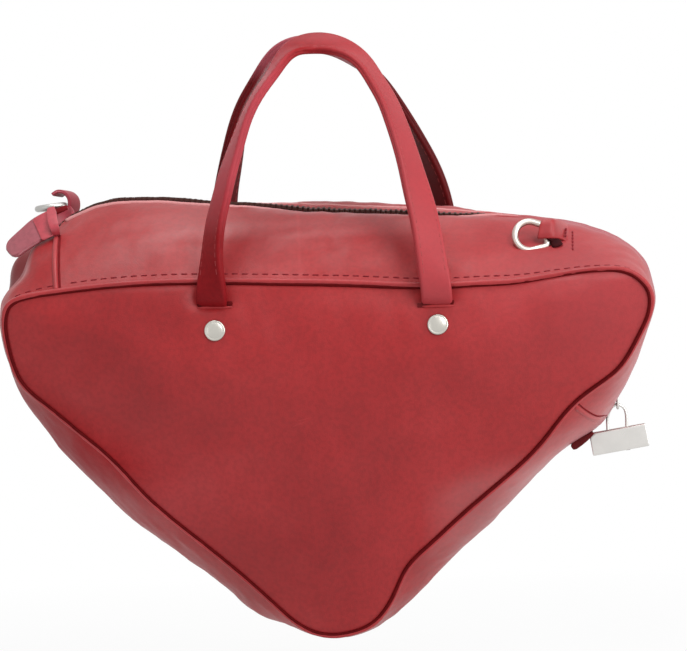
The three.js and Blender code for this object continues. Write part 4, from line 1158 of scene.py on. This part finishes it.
# Strips of the left end: name, finish, (u, v, y) rows, widths, thickness, lean, rounded ends and solids.
# They are the tongue, its sleeve, the keeper over both, the base of the ring's loop behind them, and a dark
# strip at the fold of the loop that paints the shade under the ring.
LEFT_STRIPS = (
    (
        "left_tongue", "tongue",
        [
            (-168.2, -101.6, -21), (-164.0, -97.9, -21), (-158.4, -93.7, -20.5), (-152.4, -89.6, -20),
            (-144.6, -85.8, -19),
        ],
        (8.6, 9.3, 10.4, 11.8, 12.6), 2.6, 11.0, (0.35, 0.95), "left_zip_tongue",
    ),
    (
        "tongue_sleeve", "keeper", [(-152.6, -89.8, -21.8), (-148.6, -87.7, -21.6), (-144.6, -85.8, -21.2)],
        (11.9, 12.7, 13.2), 1.4, 11.0, (0.93, 0.93),
    ),
    (
        "tongue_keeper", "keeper",
        [(-145.0, -78.2, -15.5), (-144.2, -85.5, -25.5), (-143.2, -89.5, -28.0), (-141.9, -93.2, -24.5)],
        (4.7, 5.0, 4.5, 3.0), 1.8, 0.0, (0.75, 0.6),
    ),
    (
        "ring_left_base", "loop", [(-133.6, -78.6, 12.0), (-137.6, -82.0, 12.0), (-142.4, -86.0, 9.0)],
        (4.2, 7.4, 10.4), 2.0, 8.0, (0.6, 0.9),
    ),
    (
        "ring_left_fold", "crease", [(-145.0, -81.2, 3.0), (-141.0, -79.6, 3.0), (-136.4, -77.8, 4.0)],
        (1.8, 2.6, 2.4), 1.0, 1.0, (0.5, 0.9),
    ),
)


def make_left_end():
    for name, finish, table, widths, thickness, lean, ends, *nodes in LEFT_STRIPS:
        on_body(name, ribbon(table, widths, thickness, lean, ends), finish, *nodes)
    # the folded leather that holds the ring
    path = seen_path([
        (-136.2, -86.0, 20), (-133.6, -80.5, 20), (-132.6, -76.4, 20), (-133.2, -72.8, 20),
        (-135.8, -70.2, 20), (-139.0, -69.7, 20), (-141.6, -71.2, 20),
    ], 40)
    width = np.tile(unit(np.array([0.42, 0.9, -0.1])), (len(path), 1))
    face = unit(np.cross(unit(steps_along(path)), width))
    loop = section_tube(path, width, face, strap_section(11, 2.0, 0.6))
    on_body("ring_left_loop", loop, "loop", "d_ring_left_loop")
    # the band's folded end, and a dark line in the gap beside it that paints its shade
    for name, spots, proud, radius, sides, finish in (
        (
            "band_end_edge", [(-142.6, -94.5), (-143.3, -100.0), (-143.7, -108.6), (-143.5, -122.5)],
            0.2, 1.45, 10, "trim",
        ),
        (
            "band_end_shade_line", [(-140.5, -93.0), (-141.2, -100.0), (-141.6, -108.6), (-141.5, -122.5)],
            0.05, 0.55, 8, "crease",
        ),
    ):
        points, outs = front_line(spots, 40)
        on_body(name, tube(points + outs * proud, radius, sides), finish)


def make_right_end():
    # the folded leather that holds the right ring
    centre, bar = RINGS["right"][:2]
    t = np.linspace(0, 1, 18)
    share = (1 - ease((t - 0.36) / 0.56))[:, None]
    rows = []
    for v, left in ((-92.2, 118.2), (-95.2, 117.4), (-98.4, 116.6), (-101.4, 115.8)):
        line, outs = front_line([(left, v), (left + 4, v), (126.0, v - 0.5), (134.2, v - 2.6)], 18)
        over_bar = centre[1] + (v - centre[2]) * bar[1] / bar[2] - RING_WIRE - 1.6
        proud = seen(*project(line).T, over_bar)
        base = line + outs * np.interp(t, [0, 0.6, 1], [1.6, 1.0, -0.5])[:, None]
        rows.append(base + (proud - base) * share)
    grid = np.array(rows)
    loop = shell(grid, grid_normals(grid, (0, -1, 0)), 1.5)
    on_body("ring_right_loop", loop, "leather", "d_ring_right_loop")
    # its two short rows of stitches, and a dark tube in front of the bar that paints the shade of the hollow
    # under it
    made = []
    for u, low, high, proud in ((130.7, -103.4, -98.6, 2.0), (134.5, -109.2, -98.6, 0.1)):
        points, outs = front_line([(u, high), (u - 0.1, (high + low) / 2), (u - 0.2, low)], 12)
        made += stitches(points + outs * proud, outs, *TAB_THREAD)
    on_body("ring_tab_stitches", joined(made), "thread")
    points, outs = front_line([(121.4, -104.6), (124.0, -104.6), (126.4, -106.4)], 14)
    proud = np.linspace(3.4, 0.2, 14)[:, None]
    hollow = tube(points + outs * proud, np.linspace(2.5, 3.3, 14), 14, False, (outs[0], 0.3))
    on_body("ring_tab_painted_shade", hollow, "deep")
    # the cross seam's join, as a dark line that paints the shade in it, and the raised fold under it
    for name, shift, lift, radius, finish in (
        ("cross_seam_shade_line", 0.0, 0.0, 0.42, "crease"), ("cross_seam_fold", 2.0, -0.75, 1.7, "leather"),
    ):
        seam = [(134.0, -190.4), (136.0, -192.4), (139.6, -195.4), (144.6, -198.2), (149.8, -198.2)]
        points, outs = front_line([(u - 0.72 * shift, v - 0.7 * shift) for u, v in seam], 36)
        radii = radius * np.interp(np.linspace(0, 1, 36), [0, 0.12, 0.85, 1], [0.5, 1, 1, 0.4])
        on_body(name, tube(points + outs * lift, radii, 10), finish)
    blade = [(130.8, -214.8, 0.0), (135.0, -212.0, 0.0), (139.0, -209.4, 0.0), (142.4, -207.0, 0.0)]
    strip = ribbon(blade, [3.9, 3.9, 3.0, 1.5], 11.0, 0.0, (0.5, 0.9))
    # the right tongue takes the back handle's darker leather, which is painted shade
    on_body("right_tongue", strip, "back_handle", "right_zip_tongue")


# slider, puller and padlock

LOCK_X = np.array([0.98823, 0.0, 0.15299])
LOCK_Z = np.array([-0.15299, 0.0, 0.98823])
LOCK_PIVOT = np.array([157.42, 0.0, -193.73])
PULLER_PIVOT = np.array([157.42, 0.0, -185.23])
LOCK_SHIFT = np.array([-3.7, 0.0, -0.9])
PULLER_SHIFT = np.array([-1.5, 0.0, 0.0])
SHACKLE = [
    (150.3, -212.5), (150.2, -206.0), (150.3, -199.5), (151.3, -196.0), (153.0, -193.4), (155.3, -192.2),
    (157.6, -192.8), (159.5, -194.6), (160.3, -197.5), (160.3, -206.0), (160.3, -211.0),
]
# Corners of the puller's wire, seen from the side.
PULLER = [
    (-2.2, 0.2), (2.2, 0.2), (3.1, -0.8), (3.1, -7.6), (2.2, -8.7), (-2.2, -8.7), (-3.1, -7.6), (-3.1, -0.8),
]
PULLER_WIRE = 0.72
SHACKLE_WIRE = 0.78
LOCK_WIDTH = 30.6
LOCK_DEPTH = 5.4
LOCK_HEIGHT = 12.4
LOCK_TOP = -10.3  # from the pivot
PLUG_MIDDLE = np.array([160.5, 0.0, -213.6])


def make_lock():
    middle = LOCK_Z * (LOCK_TOP - LOCK_HEIGHT / 2) + LOCK_PIVOT + LOCK_SHIFT
    half = LOCK_WIDTH / 2
    where = np.array([-half, -half + 0.25, -half + 0.8, half - 0.8, half - 0.25, half])[:, None]
    size = np.array([0.9, 0.965, 1.0, 1.0, 0.965, 0.9])[:, None]
    width = LOCK_Z * (1 - (1 - size) * 0.45)
    face = np.array([0.0, -1.0, 0.0]) * size
    body = section_tube(middle + where * LOCK_X, width, face, strap_section(LOCK_HEIGHT, LOCK_DEPTH, 0.8))
    add("lock_case", body, "nickel", "padlock", "nickel", "padlock_body")

    path = smooth([(x, 0.0, z) for x, z in SHACKLE], 90)
    add("lock_shackle", tube(path, SHACKLE_WIRE), "nickel", "shackle", "nickel", "padlock_shackle")

    # the plug turns about the solids' own axis
    bottom = LOCK_TOP - LOCK_HEIGHT - 0.2
    centre = PLUG_MIDDLE + LOCK_Z * ((LOCK_PIVOT - PLUG_MIDDLE) @ LOCK_Z + bottom)
    profile = [(0, -0.1), (1.2, -0.12), (1.7, 0.0), (1.9, 0.25), (1.9, 5.0), (0, 5.0)]
    plug = turned(profile, 28, centre, LOCK_Z)
    add("lock_plug", plug, "nickel", "key_plug", "nickel", "padlock_key_plug")
    # the keyway is a dark slit that paints the shade inside it
    slit = centre + LOCK_X * np.array([[-1.1], [1.1]])
    across = np.tile([0.0, 1.0, 0.0], (2, 1))
    keyway = section_tube(slit, across, np.tile(LOCK_Z, (2, 1)), strap_section(0.6, 0.5, 0.1))
    add("lock_keyway", keyway, "dark", "key_plug", "nickel")

    corners = np.array([(0.0, y, z) for y, z in PULLER + PULLER[:1]]) + PULLER_PIVOT + PULLER_SHIFT
    loop = tube(smooth(corners, 90)[:-1], PULLER_WIRE, 14, True)
    add("puller_loop", loop, "nickel", "puller", "nickel", "zip_puller")


SLIDER_STATION = 17.75


def make_slider():
    wheres = at_station(SLIDER_STATION) + np.linspace(-5.8, 5.8, 12)
    points, _, over, out = surface_frame(wheres, np.zeros(12))
    size = np.interp(np.arange(12), [0, 1, 10, 11], [0.6, 1.0, 1.0, 0.7])[:, None]
    body = section_tube(points - out * 3.8, over * size, out * size, strap_section(8.0, 3.4, 0.9))
    bridge = points[3:9] + out[3:9] * np.array([-2.4, -1.4, -1.0, -1.0, -1.4, -2.4])[:, None]
    add("slider_body", joined([body, tube(bridge, 0.75, 10)]), "steel", "slider", "nickel", "zip_slider")


# what is left of the solids

SOLID_FINISH = (
    ("handle_anchor", "back_handle"), ("rivet_back", "nickel"), ("padlock_latch", "nickel"),
    ("zip_bottom_stop", "steel"), ("", "leather"),
)


def dress_solids():
    for name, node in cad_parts.items():
        finish = next(finish for start, finish in SOLID_FINISH if name.startswith(start))
        node.data.materials.clear()
        node.data.materials.append(material[finish])


# surroundings

FLOOR_Z = -345.0
FLOOR_REACH = 4000.0


def make_floor():
    corners = [(x * FLOOR_REACH, y * FLOOR_REACH, FLOOR_Z) for x, y in ((-1, -1), (1, -1), (1, 1), (-1, 1))]
    m = Nodes(bpy.data.materials.new("floor"))
    m.shade({"Base Color": grey(0.85), "Roughness": 0.8})
    away = m.add("ShaderNodeVectorMath", operation="LENGTH")
    m.link(m.place(), away.inputs[0])
    far = m.remap(away.outputs["Value"], 0.3, 0.9, 0.85, 1.0)
    glow = m.add("ShaderNodeEmission", Strength=1.0)
    mixed = m.add("ShaderNodeMixShader")
    m.link(m.math("MULTIPLY", far, m.seen_rays()), mixed.inputs[0])
    m.link(m.tree.nodes["Principled BSDF"].outputs[0], mixed.inputs[1])
    m.link(glow.outputs[0], mixed.inputs[2])
    m.link(mixed.outputs[0], m.tree.nodes["Material Output"].inputs["Surface"])
    mesh_object("floor", corners, [(0, 1, 2, 3)], m.owner, False)


def light(name, location, target, size, power):
    data = bpy.data.lights.new(name, "AREA")
    data.shape = "DISK"
    data.size = size
    data.energy = power
    lamp = bpy.data.objects.new(name, data)
    lamp.location = location
    lamp.rotation_euler = (Vector(target) - Vector(location)).to_track_quat("-Z", "Y").to_euler()
    bpy.context.scene.collection.objects.link(lamp)


def make_world():
    world = bpy.data.worlds.new("studio")
    bpy.context.scene.world = world
    m = Nodes(world)
    background = m.tree.nodes["Background"]
    m.link(grey(1.0), background.inputs["Color"])
    m.link(m.remap(m.seen_rays(), 0.0, 1.0, 0.30, 1.0), background.inputs["Strength"])


for word, side in SIDES:
    make_panel(word, side)
make_bands()
make_gusset()
make_handle("front", -1, FRONT_STRAP, "handle")
make_handle("back", 1, BACK_STRAP, "back_handle")
for word, side in SIDES:
    make_rivets(word, side)
for word, side in SIDES:
    make_slots(word, side)
make_zip()
make_zip_rims()
make_seam_stitches()
FRONT = front_grid()
make_ring("right", "ring")
# the left ring takes the darker grey steel as painted shade, the right ring the paler nickel
make_ring("left", "steel")
make_left_end()
make_right_end()
make_lock()
make_slider()
dress_solids()
make_floor()
make_world()
light("key", (0.9, -1.3, 1.0), (0, 0, -0.15), 0.9, 15)
light("top", (-0.1, -0.2, 1.2), (0, 0, -0.1), 0.8, 10)
light("fill", (-1.3, -1.2, 0.1), (0, 0, -0.2), 1.2, 1.6)
light("right", (1.5, -0.5, 0.1), (0.1, 0, -0.2), 0.8, 8)
bpy.context.scene.view_settings.view_transform = "Standard"
